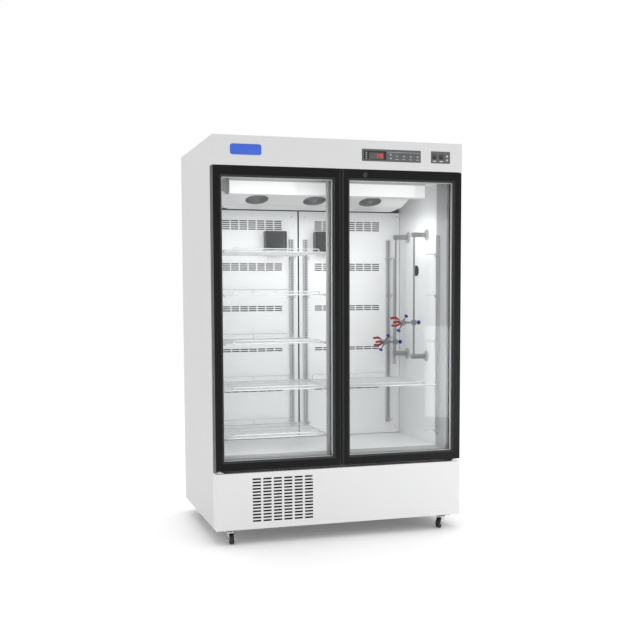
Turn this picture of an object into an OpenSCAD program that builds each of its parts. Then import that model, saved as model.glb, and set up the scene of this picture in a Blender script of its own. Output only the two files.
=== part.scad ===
// Two-door laboratory incubator on casters.
// Frame: +X to the right of the front view, +Y to the rear, +Z up.
// Origin: middle of the footprint, on the floor. Millimetres.

/* [Cabinet] */
// Overall width of the cabinet
cabinet_w = 1260; // [1240:5:1280]
// Overall depth from the door faces to the rear panel
cabinet_d = 840; // [830:5:850]
// Overall height from the floor to the top panel
cabinet_h = 1930; // [1920:5:1950]
// Height of the cabinet's underside above the floor
floor_gap = 72; // [72:1:74]
// Thickness of the outer steel panels
sheet = 2; // [1.5:0.5:2.5]

/* [Chamber] */
// Half of the chamber's clear width
chamber_half_w = 575; // [570:1:578]
// Depth position of the liner's front edge
liner_front = -240; // [-245:1:-235]
// Depth position of the chamber's rear wall
liner_back = 300; // [296:1:304]
// Height of the chamber floor
chamber_floor = 403; // [400:1:406]
// Height of the chamber ceiling
chamber_top = 1750; // [1748:1:1754]
// Sideways place of the line that the chamber's fittings share
fit_x = -20; // [-22:1:-18]

/* [Doors] */
// Height of the doors' lower edge
door_bottom = 358; // [356:1:360]
// Height of the doors' upper edge
door_top = 1788; // [1786:1:1789]
// Thickness of a door frame
door_t = 48; // [46:1:50]
// Gap between the two doors
door_gap = 3; // [3:0.5:5]
// Face width of the stiles and of the lower rail
stile_w = 43; // [42:1:46]
// Face width of the upper rail
top_rail_w = 50; // [48:1:52]
// Diameter of the hinge pins
hinge_pin_d = 8; // [6:1:10]

/* [Shelves] */
// Width of one shelf
shelf_w = 536; // [525:1:537]
// Depth of one shelf
shelf_d = 495; // [480:1:498]
// Number of deck wires on a shelf
deck_wires = 30; // [20:1:34]
// Heights of the decks of the left shelves, from the top one down
shelf_levels = [1395, 1187, 951, 724, 491];

/* [Air] */
// Distance between the evaporator fans
fan_pitch = 305; // [300:1:310]
// Diameter of a fan opening
fan_d = 118; // [116:1:119]
// Slot groups across each rear duct panel
slot_groups = 8; // [7:1:8]
// Distance between neighbouring slot groups
slot_pitch = 48; // [46:1:48]
// Distance between rows of slot groups
slot_row_pitch = 230; // [225:1:232]

/* [Casters] */
// Diameter of a caster wheel
wheel_d = 50; // [48:1:50]
// Width of a caster wheel
wheel_w = 20; // [18:1:20]
// Distance from a caster's swivel axis to its wheel axle
trail = 25; // [22:1:27]

/* [Hidden] */

$fn = 48;
eps = 0.02;         // overshoot of a cutting tool
seam = 0.2;         // gap that keeps neighbouring solids of one node apart
fit = 0.05;         // radial clearance of a running fit

half_w = cabinet_w / 2;
front_y = -cabinet_d / 2;
back_y = cabinet_d / 2;
skin = 1.5;         // thickness of the liner and of the duct panels
collar_front = front_y + 60;                 // face that the door gaskets close on
post_back = collar_front + 42;               // rear of the post between the doors
post_half_w = 48;
door_back = front_y + door_t;
gasket_back = collar_front - 1;
lower_top = door_bottom - 13;                // top edge of the lower front panel
header_bottom = door_top + 3;
foam_back = liner_back + 78;
foam_top = chamber_top + 90;

// Header controls, centred on the heights and places of the panel's cut-outs
panel_x = [103, 409];       // control panel, left and right edge
plate_x = [463, 565];       // switch plate, left and right edge
panel_z = [1831, 1889];     // lower and upper edge of both
panel_t = 3;
window_x = [113, 228];
window_z = [1839, 1880];
rocker_x = [482, 518];
rocker_z = 1862;
rocker_size = [18.4, 20.4];     // width and height of a rocker
rocker_depth = 6;       // its pivot's depth behind the panel's face
rocker_tilt = 6;        // its tilt when off, in degrees
key_x = [284, 320, 356, 392];
key_z = 1858;
key_d = 14;
key_proud = 0.8;

lock_x = 119;
lock_z = 1764;
lock_d = 16;

// Door hinge axis, measured to the middle of the pin
hinge_x = half_w - 24;
hinge_y = front_y + 24;
pin_clear = 3;      // free end of the pin inside its socket

// Ceiling fan unit
unit_half_w = 505;
unit_front = -300;
unit_low = 1672;        // lower edge of the lamp face
panel_low_y = 20;       // rear, low edge of the sloping fan panel
panel_low_z = 1650;
panel_slope = 18;       // degrees
panel_len = 168;
lip_h = 24;
fan_along = 65;         // fan centre, measured up the slope from the low edge
shaft_d = 8;            // motor shafts of all fans

// Rear duct panels
duct_y = 261;
duct_top = 1640;
slot_w = 41;
slot_h = 6;
slot_line_pitch = 11;
slot_first_z = 1588;    // top edge of the highest row
slot_near = 114;        // first group's distance from the middle seam

// Shelf standards
standard_w = 22;
standard_t = 12;
standard_low = 465;
standard_high = 1487;
standard_offsets = [-522, -40, 39, 522];
side_standard_y = -270;
shelf_front = -300;
shelf_gap = 5;          // from the fittings' centre line to a shelf's inner edge
shelf_rest = 0.3;       // play between a clip and the deck above it

// Lattice on the right wall
rod_d = 10;
rod_x = 502;
rod_ys = [-118, 140];
arm_zs = [861, 1499];
arm_d = 25;
probe_cover = [[rod_x - 7, rod_ys[1] + 17, 800], [rod_x + 12, rod_ys[1] + 27, 1390]];
probe_clip_zs = [880, 1378];

// Cable port in the right wall
port_y = 18;
port_z = 1315;
port_d = 50;

// Clamps on the lattice rods, and the hinge of their upper fingers (along X and Z)
upper_clamp_z = 1040;
lower_clamp_z = 926;
clamp_turn = 12;        // degrees from -X towards the doors
clamp_roll = 40;        // the fingers' turn about the clamp's own length
finger_spread = 16;     // half the distance between the upper fingers
sleeve_d = 13;
knee_d = 13.4;
jaw_pivot = [-91, 8];
jaw_pin_d = 6;
finger_l = 30;
finger_bend = 42;

// Casters: swivel axes and the way that each wheel trails, in degrees from -Y
caster_x = 550;
caster_front_y = -365;
caster_rear_y = 362;
fork_gap = wheel_w / 2 + 1.5;
fork_t = 2.5;
fork_top = 60;
front_right_turn = -45;

// Machine compartment
vent_x = [-451, -150];
vent_z = [107, 317];
vent_cols = 6;
vent_rows = 14;
vent_slot = [41, 8];
condenser_fan_x = -300;
condenser_fan_z = 212;
condenser_fan_y = -262;
pipe_x = [290, 310];    // lines up the back to the coil
pipe_z = 1700;

panel_white = [0.90, 0.90, 0.91];
liner_white = [0.86, 0.87, 0.88];
frame_black = [0.10, 0.10, 0.11];
steel = [0.66, 0.68, 0.70];
panel_grey = [0.45, 0.47, 0.50];
dark_grey = [0.28, 0.29, 0.31];
copper = [0.72, 0.42, 0.28];

// ---------- helpers ----------

// A box from one corner to the other
module span(a, b) {
    translate(a) cube(b - a);
}

// A cylinder along X, from x to x + l
module rod_along_x(x, y, z, d, l) {
    translate([x, y, z]) rotate([0, 90, 0]) cylinder(d = d, h = l);
}

// A cylinder along Y, from y to y + l
module rod_along_y(x, y, z, d, l) {
    translate([x, y, z]) rotate([-90, 0, 0]) cylinder(d = d, h = l);
}

// A row of slots in the X-Z plane, drawn flat for extrusion
module slot_grid(cols, rows, pitch_x, pitch_z, size) {
    for (c = [0 : cols - 1], r = [0 : rows - 1])
        translate([c * pitch_x, -r * pitch_z]) square(size, center = true);
}

// Extrudes a flat X-Z drawing along Y, from y to y + t
module plate_xz(y, t) {
    translate([0, y + t, 0]) rotate([90, 0, 0]) linear_extrude(t) children();
}

// ---------- cabinet ----------

module cabinet_panels() {
    color(panel_white) {
        difference() {
            for (side = [-1, 1])
                span([side > 0 ? half_w - sheet : -half_w, collar_front, floor_gap],
                    [side > 0 ? half_w : -half_w + sheet, back_y - sheet, cabinet_h]);
            rod_along_x(half_w - 10, port_y, port_z, port_d + 6, 20);
        }
        span([-half_w + sheet + seam, collar_front, cabinet_h - sheet],
            [half_w - sheet - seam, back_y - sheet, cabinet_h]);
    }
}

module rear_panel() {
    louvre = [60, 5];
    color(panel_white)
        plate_xz(back_y - sheet, sheet) difference() {
            translate([-half_w, floor_gap]) square([cabinet_w, cabinet_h - floor_gap]);
            translate([-440, 300]) slot_grid(12, 12, 80, 15, louvre);
            translate([520, 150]) square([40, 28], center = true);
        }
}

module base_frame() {
    plate_t = 4;
    color(dark_grey) difference() {
        union() {
            span([-half_w + sheet, front_y + sheet, floor_gap],
                [half_w - sheet, back_y - sheet, floor_gap + plate_t]);
            for (y = [caster_front_y, caster_rear_y]) {
                span([-half_w + sheet, y - 12, floor_gap + plate_t - eps],
                    [half_w - sheet, y + 12, floor_gap + plate_t + 14]);
                for (x = [-caster_x, caster_x]) {
                    span([x - 42, y - 34, floor_gap - 6], [x + 42, y + 34, floor_gap + eps]);
                    translate([x, y, fork_top + 0.3]) cylinder(d = 46, h = floor_gap - 6 - fork_top);
                    translate([x, y, fork_top - 8]) cylinder(d = 10, h = 10);
                }
            }
        }
        for (x = [-caster_x, caster_x], y = [caster_front_y, caster_rear_y], i = [-1, 1], j = [-1, 1])
            translate([x + i * 33, y + j * 26, floor_gap - 8]) cylinder(d = 7, h = 8);
    }
}

module foam_walls() {
    low = lower_top;
    outer = half_w - sheet;
    inner = chamber_half_w + skin;
    color([0.93, 0.88, 0.70]) {
        span([-outer, liner_front, low], [-inner, foam_back, cabinet_h - sheet]);
        difference() {
            span([inner, liner_front, low], [outer, foam_back, cabinet_h - sheet]);
            rod_along_x(inner - 10, port_y, port_z, port_d + 6, outer - inner + 20);
        }
        span([-inner + seam, liner_front, chamber_top + skin], [inner - seam, foam_back, foam_top]);
        span([-inner + seam, liner_front, low], [inner - seam, foam_back, chamber_floor - skin]);
        difference() {
            span([-inner + seam, liner_back + skin, chamber_floor - skin + seam],
                [inner - seam, foam_back, chamber_top + skin - seam]);
            for (x = pipe_x) rod_along_y(x, liner_back, pipe_z, 12, 90);
        }
    }
}

module inner_liner() {
    inner = chamber_half_w;
    color(liner_white) {
        difference() {
            span([-inner - skin, liner_front, chamber_floor - skin],
                [inner + skin, liner_back + skin, chamber_top + skin]);
            span([-inner, liner_front - 1, chamber_floor], [inner, liner_back, chamber_top]);
            rod_along_x(inner - 5, port_y, port_z, port_d, 20);
            for (x = pipe_x) rod_along_y(x, liner_back - 1, pipe_z, 12, 5);
        }
        // sleeve of the cable port, through the wall
        difference() {
            rod_along_x(inner + skin - eps, port_y, port_z, port_d + 6, half_w - inner - skin + eps);
            rod_along_x(inner - 5, port_y, port_z, port_d, 80);
        }
    }
}

module door_collar() {
    outer = half_w - sheet;
    color([0.74, 0.75, 0.76]) {
        for (side = [-1, 1])
            span([side > 0 ? chamber_half_w : -outer, collar_front, lower_top],
                [side > 0 ? outer : -chamber_half_w, liner_front, header_bottom]);
        span([-chamber_half_w + seam, collar_front, chamber_top],
            [chamber_half_w - seam, liner_front, header_bottom]);
        span([-chamber_half_w + seam, collar_front, lower_top],
            [chamber_half_w - seam, liner_front, chamber_floor]);
        // centre post between the two doors
        span([-post_half_w, collar_front, chamber_floor + seam], [post_half_w, post_back, chamber_top - seam]);
    }
}

// ---------- front covers and controls ----------

module header_cover() {
    color(panel_white) difference() {
        span([-half_w, front_y, header_bottom], [half_w, collar_front, cabinet_h]);
        span([-half_w + sheet, front_y + sheet, header_bottom + sheet],
            [half_w - sheet, collar_front + 1, cabinet_h - sheet]);
        for (edges = [panel_x, plate_x])
            span([edges[0], front_y - 1, panel_z[0]], [edges[1], front_y + sheet + 1, panel_z[1]]);
        // hinge pin holes and the slot that the lock tongue rises into
        for (side = [-1, 1])
            translate([side * hinge_x, hinge_y, header_bottom - 1])
                cylinder(d = hinge_pin_d + 2, h = sheet + 2);
        span([lock_x - 18, front_y + 18, header_bottom - 1],
            [lock_x + 8, front_y + 32, header_bottom + sheet + 1]);
    }
}

module lower_panel() {
    pitch_x = (vent_x[1] - vent_x[0] - vent_slot[0]) / (vent_cols - 1);
    pitch_z = (vent_z[1] - vent_z[0] - vent_slot[1]) / (vent_rows - 1);
    color(panel_white) difference() {
        span([-half_w, front_y, floor_gap], [half_w, collar_front, lower_top]);
        span([-half_w + sheet, front_y + sheet, floor_gap - 1],
            [half_w - sheet, collar_front + 1, lower_top - sheet]);
        plate_xz(front_y - 1, sheet + 2)
            translate([vent_x[0] + vent_slot[0] / 2, vent_z[1] - vent_slot[1] / 2])
                slot_grid(vent_cols, vent_rows, pitch_x, pitch_z, vent_slot);
    }
}

module control_panel() {
    color(panel_grey) {
        difference() {
            span([panel_x[0], front_y, panel_z[0]], [panel_x[1], front_y + panel_t, panel_z[1]]);
            span([window_x[0], front_y - 1, window_z[0]], [window_x[1], front_y + panel_t + 1, window_z[1]]);
            for (x = key_x) rod_along_y(x, front_y - 1, key_z, key_d + 2 * fit, panel_t + 2);
        }
        difference() {
            span([plate_x[0], front_y, panel_z[0]], [plate_x[1], front_y + panel_t, panel_z[1]]);
            for (x = rocker_x)
                span([x - rocker_size[0] / 2 - 1, front_y - 1, rocker_z - rocker_size[1] / 2 - 1],
                    [x + rocker_size[0] / 2 + 1, front_y + panel_t + 1, rocker_z + rocker_size[1] / 2 + 1]);
        }
    }
}

module display_window() {
    color([0.06, 0.06, 0.07])
        span([window_x[0], front_y, window_z[0]], [window_x[1], front_y + sheet, window_z[1]]);
}

// Circuit board with the display module, the key switches and the rocker switch bodies
module control_board() {
    board_y = front_y + 14;
    color([0.10, 0.35, 0.20]) {
        span([panel_x[0], board_y, panel_z[0] + 3], [panel_x[1], board_y + 1.6, panel_z[1] - 3]);
        span([window_x[0] + 20, front_y + panel_t + 1, window_z[0] + 4],
            [window_x[1] - 12, board_y + eps, window_z[1] - 5]);
        for (x = key_x) rod_along_y(x, front_y + 5, key_z, 7, board_y - front_y - 5 + eps);
        for (x = rocker_x)
            span([x - 9, front_y + 14, rocker_z - 10], [x + 9, front_y + 32, rocker_z + 10]);
    }
}

// A round key, a little longer than the panel is thick
module key_cap(i) {
    color([0.62, 0.64, 0.67])
        rod_along_y(key_x[i], front_y - key_proud, key_z, key_d, panel_t + 2 * key_proud);
}

// A rocker with two shallow faces, tilting about its middle
module rocker(i) {
    half_h = rocker_size[1] / 2;
    color(frame_black)
        translate([rocker_x[i] - rocker_size[0] / 2, front_y + rocker_depth, rocker_z])
            rotate([rocker_tilt, 0, 0]) rotate([90, 0, 90]) translate([-rocker_depth, 0, 0])
                linear_extrude(rocker_size[0])
                polygon([[0, -half_h], [-1, -half_h + 1], [0.3, 0], [-1, half_h - 1],
                    [0, half_h], [8, half_h * 0.6], [12, 2], [12, -2], [8, -half_h * 0.6]]);
}

// ---------- ceiling unit ----------

fan_unit_points = [[unit_front, chamber_top], [unit_front, unit_low], [unit_front + 60, unit_low],
    [panel_low_y - panel_len * cos(panel_slope), panel_low_z + panel_len * sin(panel_slope)],
    [panel_low_y, panel_low_z], [duct_y, panel_low_z]];

// A bent sheet: boxes along an open line of points in the Y-Z plane
module bent_sheet(points, t, x0, x1) {
    for (i = [0 : len(points) - 2]) {
        a = points[i];
        b = points[i + 1];
        step = b - a;
        translate([x0, a[0], a[1]]) rotate([atan2(step[1], step[0]), 0, 0])
            cube([x1 - x0, norm(step), t]);
    }
}

// Places a piece on the sloping fan panel; z = 0 is the panel's lower face
module on_fan_panel(i) {
    translate([fit_x + i * fan_pitch, panel_low_y, panel_low_z]) rotate([-panel_slope, 0, 0])
        translate([0, -fan_along, 0]) children();
}

module fan_unit_cover() {
    x0 = fit_x - unit_half_w;
    x1 = fit_x + unit_half_w;
    color(liner_white) {
        difference() {
            bent_sheet(fan_unit_points, sheet, x0, x1);
            for (i = [-1 : 1]) on_fan_panel(i) translate([0, 0, -10]) cylinder(d = fan_d + 1, h = 20);
        }
        for (x = [x0, x1 - sheet]) translate([x, 0, 0]) rotate([90, 0, 90]) linear_extrude(sheet)
            polygon(concat(fan_unit_points, [[duct_y, chamber_top]]));
        // lip under the low edge, with its ends cut back
        plate_xz(panel_low_y - sheet, sheet)
            polygon([[x0 + 64, panel_low_z - lip_h], [x1 - 64, panel_low_z - lip_h],
                [x1, panel_low_z + 1], [x0, panel_low_z + 1]]);
    }
}

// Round fan housings: ring, guard spokes below and motor above, on three arms
module fan_housings() {
    color(dark_grey) for (i = [-1 : 1]) on_fan_panel(i) {
        difference() {
            cylinder(d = fan_d, h = 36);
            translate([0, 0, -1]) cylinder(d = fan_d - 8, h = 38);
        }
        cylinder(r = 14, h = 3);
        for (a = [10 : 60 : 310]) rotate(a) span([12, -1.5, 0.5], [fan_d / 2 - 2, 1.5, 2.5]);
        for (a = [20 : 120 : 260]) rotate(a) span([14, -3, 31], [fan_d / 2 - 2, 3, 35]);
        translate([0, 0, 24]) cylinder(d = 34, h = 16);
        translate([0, 0, 14]) cylinder(d = shaft_d, h = 11);
    }
}

// Impeller: hub with a blind shaft bore, and pitched blades, in the housing's own frame
module impeller(radius, hub_r, hub_h, blades, blade_w, pitch) {
    difference() {
        cylinder(r = hub_r, h = hub_h);
        translate([0, 0, 5]) cylinder(d = shaft_d + 2 * fit, h = hub_h);
    }
    for (k = [0 : blades - 1]) rotate(k * 360 / blades)
        translate([hub_r - 1.5, 0, hub_h / 2]) rotate([pitch, 0, 0])
            translate([0, -blade_w / 2, -0.8]) cube([radius - hub_r + 1.5, blade_w, 1.6]);
}

module evaporator_fan(i) {
    color([0.15, 0.15, 0.16]) on_fan_panel(i) translate([0, 0, 7]) impeller(50, 17, 15, 5, 24, 28);
}

module lamp_diffuser() {
    color([0.97, 0.98, 0.98])
        span([fit_x - unit_half_w + 2, unit_front - 4, unit_low + 2],
            [fit_x + unit_half_w - 2, unit_front - eps, chamber_top - 16]);
}

// Finned coil with its defrost and heating rods below the fins
module evaporator() {
    x0 = -430;
    x1 = 390;
    color([0.75, 0.76, 0.78]) {
        for (z = [1676, 1708]) rod_along_x(x0 - 14, 150, z, 10, x1 - x0 + 28);
        translate([0, 0, 1668]) linear_extrude(62) {
            for (x = [x0 : 20 : x1]) translate([x, 70]) square([2, 150]);
            translate([x0, 142]) square([x1 - x0, 16]);
        }
        for (y = [92, 200]) rod_along_x(x0, y, 1661, 8, x1 - x0);
    }
}

// ---------- chamber fittings ----------

module duct_panels() {
    bottom = chamber_floor + 2;
    color(liner_white) for (side = [-1, 1])
        plate_xz(duct_y, skin) difference() {
            near = fit_x + side * 4;
            far = side * (chamber_half_w - 2);
            translate([min(near, far), bottom]) square([abs(far - near), duct_top - bottom]);
            for (row = [0 : 4])
                translate([fit_x + side * slot_near, slot_first_z - row * slot_row_pitch - slot_h / 2])
                    slot_grid(slot_groups, 5 - row, side * slot_pitch, slot_line_pitch, [slot_w, slot_h]);
        }
}

// One slotted channel; its back is at y = 0 and its open width faces away
module standard() {
    hole = [9, 4];
    translate([0, -standard_t, 0]) {
        plate_xz(0, 1.5) difference() {
            translate([-standard_w / 2, standard_low]) square([standard_w, standard_high - standard_low]);
            for (z = [standard_low + 20 : 32 : standard_high - 15]) translate([0, z]) square(hole, center = true);
        }
        for (x = [-standard_w / 2, standard_w / 2 - 1.5])
            span([x, 0.5, standard_low], [x + 1.5, standard_t, standard_high]);
    }
}

// A shelf clip below a deck, reaching out from a standard's face by reach
module shelf_clip(reach) {
    span([-7, -standard_t - 5, -14], [7, -standard_t, -shelf_rest]);
    span([-7, -standard_t - reach, -5], [7, -standard_t - 4.5, -shelf_rest]);
}

// Runs its children on every standard, turned to face the chamber
module at_standards() {
    for (x = standard_offsets) translate([fit_x + x, duct_y, 0]) children();
    for (side = [-1, 1])
        translate([side * chamber_half_w, side_standard_y, 0]) rotate(side > 0 ? -90 : 90) children();
    translate([0, post_back, 0]) rotate(180) children();
}

module shelf_standards() {
    color(steel) {
        at_standards() standard();
        for (z = shelf_levels) {
            for (x = standard_offsets) translate([fit_x + x, duct_y, z]) shelf_clip(66);
            translate([-chamber_half_w, side_standard_y, z]) rotate(90) shelf_clip(22);
            translate([chamber_half_w, side_standard_y, z]) rotate(-90) shelf_clip(58);
            // double-armed clip on the centre post
            translate([0, post_back, z]) rotate(180) {
                span([-50, -standard_t - 26, -5], [50, -standard_t - 6, -shelf_rest]);
                shelf_clip(20);
            }
        }
    }
}

// A wire shelf: rim and deck wires, a raised rail in front and a backstop behind
module shelf(x0, z) {
    rim = 6;
    wire = 3;
    pitch = (shelf_w - 2 * rim) / (deck_wires + 1);
    rail_inset = 52;
    color(steel) translate([x0, shelf_front, z]) {
        linear_extrude(rim) difference() {
            square([shelf_w, shelf_d]);
            translate([rim, rim]) square([shelf_w - 2 * rim, shelf_d - 2 * rim]);
        }
        translate([0, 0, rim - wire]) linear_extrude(wire) {
            for (i = [1 : deck_wires]) translate([rim + i * pitch - wire / 2, 1]) square([wire, shelf_d - 2]);
            for (k = [1 : 3]) translate([1, k * shelf_d / 4 - rim / 2]) square([shelf_w - 2, rim]);
        }
        for (rail = [[0, 20], [shelf_d - rim, 33]]) {
            span([rail_inset, rail[0], rail[1] - 5], [shelf_w - rail_inset, rail[0] + 5, rail[1]]);
            for (x = [rail_inset, shelf_w / 2 - 2.5, shelf_w - rail_inset - 5])
                span([x, rail[0], rim - 1], [x + 5, rail[0] + 5, rail[1] - 1]);
        }
    }
}

module shelf_left(i) {
    shelf(fit_x - shelf_gap - shelf_w, shelf_levels[i]);
}

module outlet_boxes() {
    color(dark_grey) for (x = [fit_x - 194, fit_x + 85])
        translate([x, duct_y - 60, 1421]) difference() {
            cube([115, 60, 108]);
            translate([12, -1, 22]) cube([91, 5, 64]);
        }
}

// Wall flanges, arms and upright rods, with the temperature probe's cover clipped to the rear rod
module lattice_rods() {
    color(steel) {
        for (y = rod_ys) {
            for (z = arm_zs) {
                rod_along_x(rod_x - 14, y, z, arm_d, chamber_half_w - rod_x + 14);
                rod_along_x(chamber_half_w - 8, y, z, 60, 8);
            }
            translate([rod_x, y, arm_zs[0]]) cylinder(d = rod_d, h = arm_zs[1] - arm_zs[0]);
        }
        span(probe_cover[0], probe_cover[1]);
        for (z = probe_clip_zs)
            span([rod_x - 4, rod_ys[1] + 2, z], [rod_x + 4, probe_cover[0][1] + 2, z + 6]);
    }
}

module port_plug() {
    color([0.08, 0.08, 0.08]) {
        rod_along_x(chamber_half_w - 0.5, port_y, port_z, port_d - 2 * fit, half_w - chamber_half_w + 0.3);
        rod_along_x(chamber_half_w - 4.3, port_y, port_z, port_d + 6, 4);
    }
}

// A three-finger clamp that points along -X from its boss on the rod (rod axis at the origin)
module clamp_arm() {
    color([0.62, 0.63, 0.65]) {
        difference() {
            union() {
                translate([0, 0, -13]) cylinder(d = 28, h = 26);
                rod_along_x(10, 0, 0, 6, 16);
                rod_along_x(-62, 0, 0, 9, 52);
            }
            translate([0, 0, -20]) cylinder(d = rod_d + 2 * fit, h = 40);
        }
        rod_along_x(25, 0, 0, 24, 12);
        span([-84, -13, -13.5], [-58, 13, 13.5]);
        // clamping screws with their knobs: each entry is a tilt, the height of its knob and a foot along X
        for (screw = [[35, 37, -72], [215, 45, -68]]) translate([screw[2], 0, 0]) rotate([0, screw[0], 0]) {
            translate([0, 0, 8]) cylinder(d = 5, h = screw[1] - 7);
            translate([0, 0, screw[1]]) cylinder(d = 22, h = 10);
        }
        rotate([clamp_roll, 0, 0]) {
            difference() {
                span([jaw_pivot[0] - 5, -6, jaw_pivot[1] - 6], [-83, 6, jaw_pivot[1] + 4]);
                rod_along_y(jaw_pivot[0], -8, jaw_pivot[1], jaw_pin_d + 2 * fit, 16);
            }
            clamp_finger([-79, 0, -4], -35);
        }
    }
}

// A bare root and a sleeve with a round knee, starting at a place with a slope in degrees
module clamp_finger(at, slope) {
    root = 12;
    translate(at) rotate([0, slope, 0]) {
        rod_along_x(-root - 1, 0, 0, 8, root + 1);
        rod_along_x(-finger_l, 0, 0, sleeve_d, finger_l - root);
        translate([-finger_l, 0, 0]) {
            sphere(d = knee_d);
            rotate([0, slope > 0 ? -finger_bend : finger_bend, 0])
                rod_along_x(-finger_l, 0, 0, sleeve_d, finger_l);
        }
    }
}

// Upper pair of fingers on one pin, hinged in the lug at the front of the clamp's body
module clamp_jaw() {
    color([0.65, 0.08, 0.08]) rotate([clamp_roll, 0, 0]) {
        rod_along_y(jaw_pivot[0], -finger_spread, jaw_pivot[1], jaw_pin_d, 2 * finger_spread);
        for (y = [-finger_spread, finger_spread]) clamp_finger([jaw_pivot[0], y, jaw_pivot[1]], 30);
    }
}

module place_clamp(i) {
    translate([rod_x, rod_ys[i], i == 0 ? upper_clamp_z : lower_clamp_z]) rotate(clamp_turn) children();
}

// ---------- doors ----------

// One side of a door frame in section: u runs inwards from the outer edge, v to the rear.
// The inner front edge is bevelled and a groove holds the glazing; grip is the chamfer on
// the outer front edge.
module frame_section(w, grip) {
    bevel = 9;
    groove = 12;
    polygon([[0, grip], [grip, 0], [w - bevel, 0], [w, bevel], [w, 11], [w - groove, 11],
        [w - groove, 35], [w, 35], [w, door_t], [0, door_t]]);
}

// Door frame with its hinge on the right; the outer edge is at x = half_w - 2
module door_frame() {
    x0 = door_gap / 2;
    x1 = half_w - 2;
    grip = 9;
    color(frame_black) difference() {
        union() {
            translate([x0, front_y, door_bottom]) linear_extrude(door_top - door_bottom)
                frame_section(stile_w - x0, grip);
            translate([x1, front_y, door_bottom]) mirror([1, 0, 0])
                linear_extrude(door_top - door_bottom) frame_section(stile_w, 0);
            translate([x0 + 10, front_y, door_bottom]) rotate([90, 0, 90])
                linear_extrude(x1 - x0 - 11) mirror([1, -1, 0]) frame_section(stile_w + 2, 0);
            translate([x0 + 10, front_y, door_top]) mirror([0, 0, 1]) rotate([90, 0, 90])
                linear_extrude(x1 - x0 - 11) mirror([1, -1, 0]) frame_section(top_rail_w, 0);
        }
        // sockets of the hinge pins
        for (z = [door_bottom - 1, door_top - 22])
            translate([hinge_x, hinge_y, z]) cylinder(d = hinge_pin_d + 2 * fit, h = 23);
    }
}

module door_glass() {
    x0 = stile_w - 10;
    x1 = half_w - 2 - stile_w + 10;
    color([0.70, 0.80, 0.82, 0.3]) for (y = [12, 29])
        span([x0, front_y + y, door_bottom + stile_w - 8], [x1, front_y + y + 4, door_top - top_rail_w + 10]);
}

module door_gasket() {
    w = 14;
    x0 = 6;
    z0 = door_bottom + 27;
    size = [half_w - 26 - x0, door_top - 21 - z0];
    color([0.20, 0.20, 0.21]) plate_xz(door_back, gasket_back - door_back) difference() {
        translate([x0, z0]) square(size);
        translate([x0 + w, z0 + w]) square([size[0] - 2 * w, size[1] - 2 * w]);
    }
}

module right_door_frame() {
    difference() {
        door_frame();
        // bore of the lock, then the pocket that its tongue turns in
        rod_along_y(lock_x, front_y - 1, lock_z, lock_d + 2 * fit, 42);
        span([lock_x - 34, front_y + 21, lock_z - 6], [lock_x + 8, front_y + 29, door_top + 1]);
    }
}

// Lock cylinder with its ring and a tongue that points to -X when unlocked
module door_lock() {
    color(steel) {
        difference() {
            union() {
                rod_along_y(lock_x, front_y - 1, lock_z, lock_d, 40);
                rod_along_y(lock_x, front_y - 2, lock_z, 24, 1.95);
            }
            span([lock_x - 1, front_y - 3, lock_z - 4], [lock_x + 1, front_y + 6, lock_z + 4]);
        }
        span([lock_x - 31, front_y + 23, lock_z - 3], [lock_x, front_y + 27, lock_z + 3]);
    }
}

// Fixed hinge brackets: plates with a pin that reaches into the door frame
module hinge_brackets() {
    pin_in = 20;
    color(steel) for (side = [-1, 1]) {
        x = side * hinge_x;
        span([x - 16, front_y + 8, lower_top + 2], [x + 16, collar_front, lower_top + 6]);
        translate([x, hinge_y, lower_top + 5]) cylinder(d = hinge_pin_d, h = door_bottom - lower_top - 5 + pin_in - pin_clear);
        translate([x, hinge_y, lower_top + 5]) cylinder(d = 18, h = door_bottom - lower_top - 5.5);
        span([x - 16, front_y + 8, header_bottom + sheet], [x + 16, collar_front, header_bottom + sheet + 4]);
        translate([x, hinge_y, door_top - pin_in + pin_clear])
            cylinder(d = hinge_pin_d, h = header_bottom + sheet + 1 - door_top + pin_in - pin_clear);
    }
}

// ---------- machine compartment ----------

module compressor() {
    x = 330;
    y = 120;
    z = floor_gap + 4;
    color(frame_black) {
        span([x - 110, y - 80, z], [x + 110, y + 80, z + 4]);
        for (i = [-1, 1], j = [-1, 1]) translate([x + i * 90, y + j * 60, z + 3]) cylinder(d = 26, h = 12);
        translate([x, y, z + 14]) {
            rotate_extrude() polygon([[0, 0], [62, 0], [84, 20], [86, 90], [84, 140], [66, 168], [0, 176]]);
            translate([70, -34, 40]) cube([40, 68, 62]);
        }
    }
}

// Condenser coil behind the vent, with the shroud and motor of its fan
module condenser() {
    x0 = -450;
    x1 = -150;
    color([0.35, 0.36, 0.38]) {
        translate([0, 0, 104]) linear_extrude(216) {
            for (x = [x0 : 10 : x1]) translate([x, -392]) square([2, 50]);
            translate([x0, -374]) square([x1 - x0, 14]);
        }
        difference() {
            span([x0 - 4, -336, 90], [x1 + 6, -332, 322]);
            rod_along_y(condenser_fan_x, -340, condenser_fan_z, 214, 12);
        }
        difference() {
            rod_along_y(condenser_fan_x, -333, condenser_fan_z, 222, 60);
            rod_along_y(condenser_fan_x, -335, condenser_fan_z, 214, 64);
        }
        rod_along_y(condenser_fan_x, condenser_fan_y - 6, condenser_fan_z, 70, 50);
        rod_along_y(condenser_fan_x, condenser_fan_y - 50, condenser_fan_z, shaft_d, 45);
        for (a = [45 : 90 : 315]) translate([condenser_fan_x, condenser_fan_y - 12, condenser_fan_z]) rotate([0, a, 0])
            span([30, -3, -3], [109, 3, 3]);
        span([condenser_fan_x - 15, condenser_fan_y, floor_gap + 4],
            [condenser_fan_x + 15, condenser_fan_y + 30, condenser_fan_z - 30]);
    }
}

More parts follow.
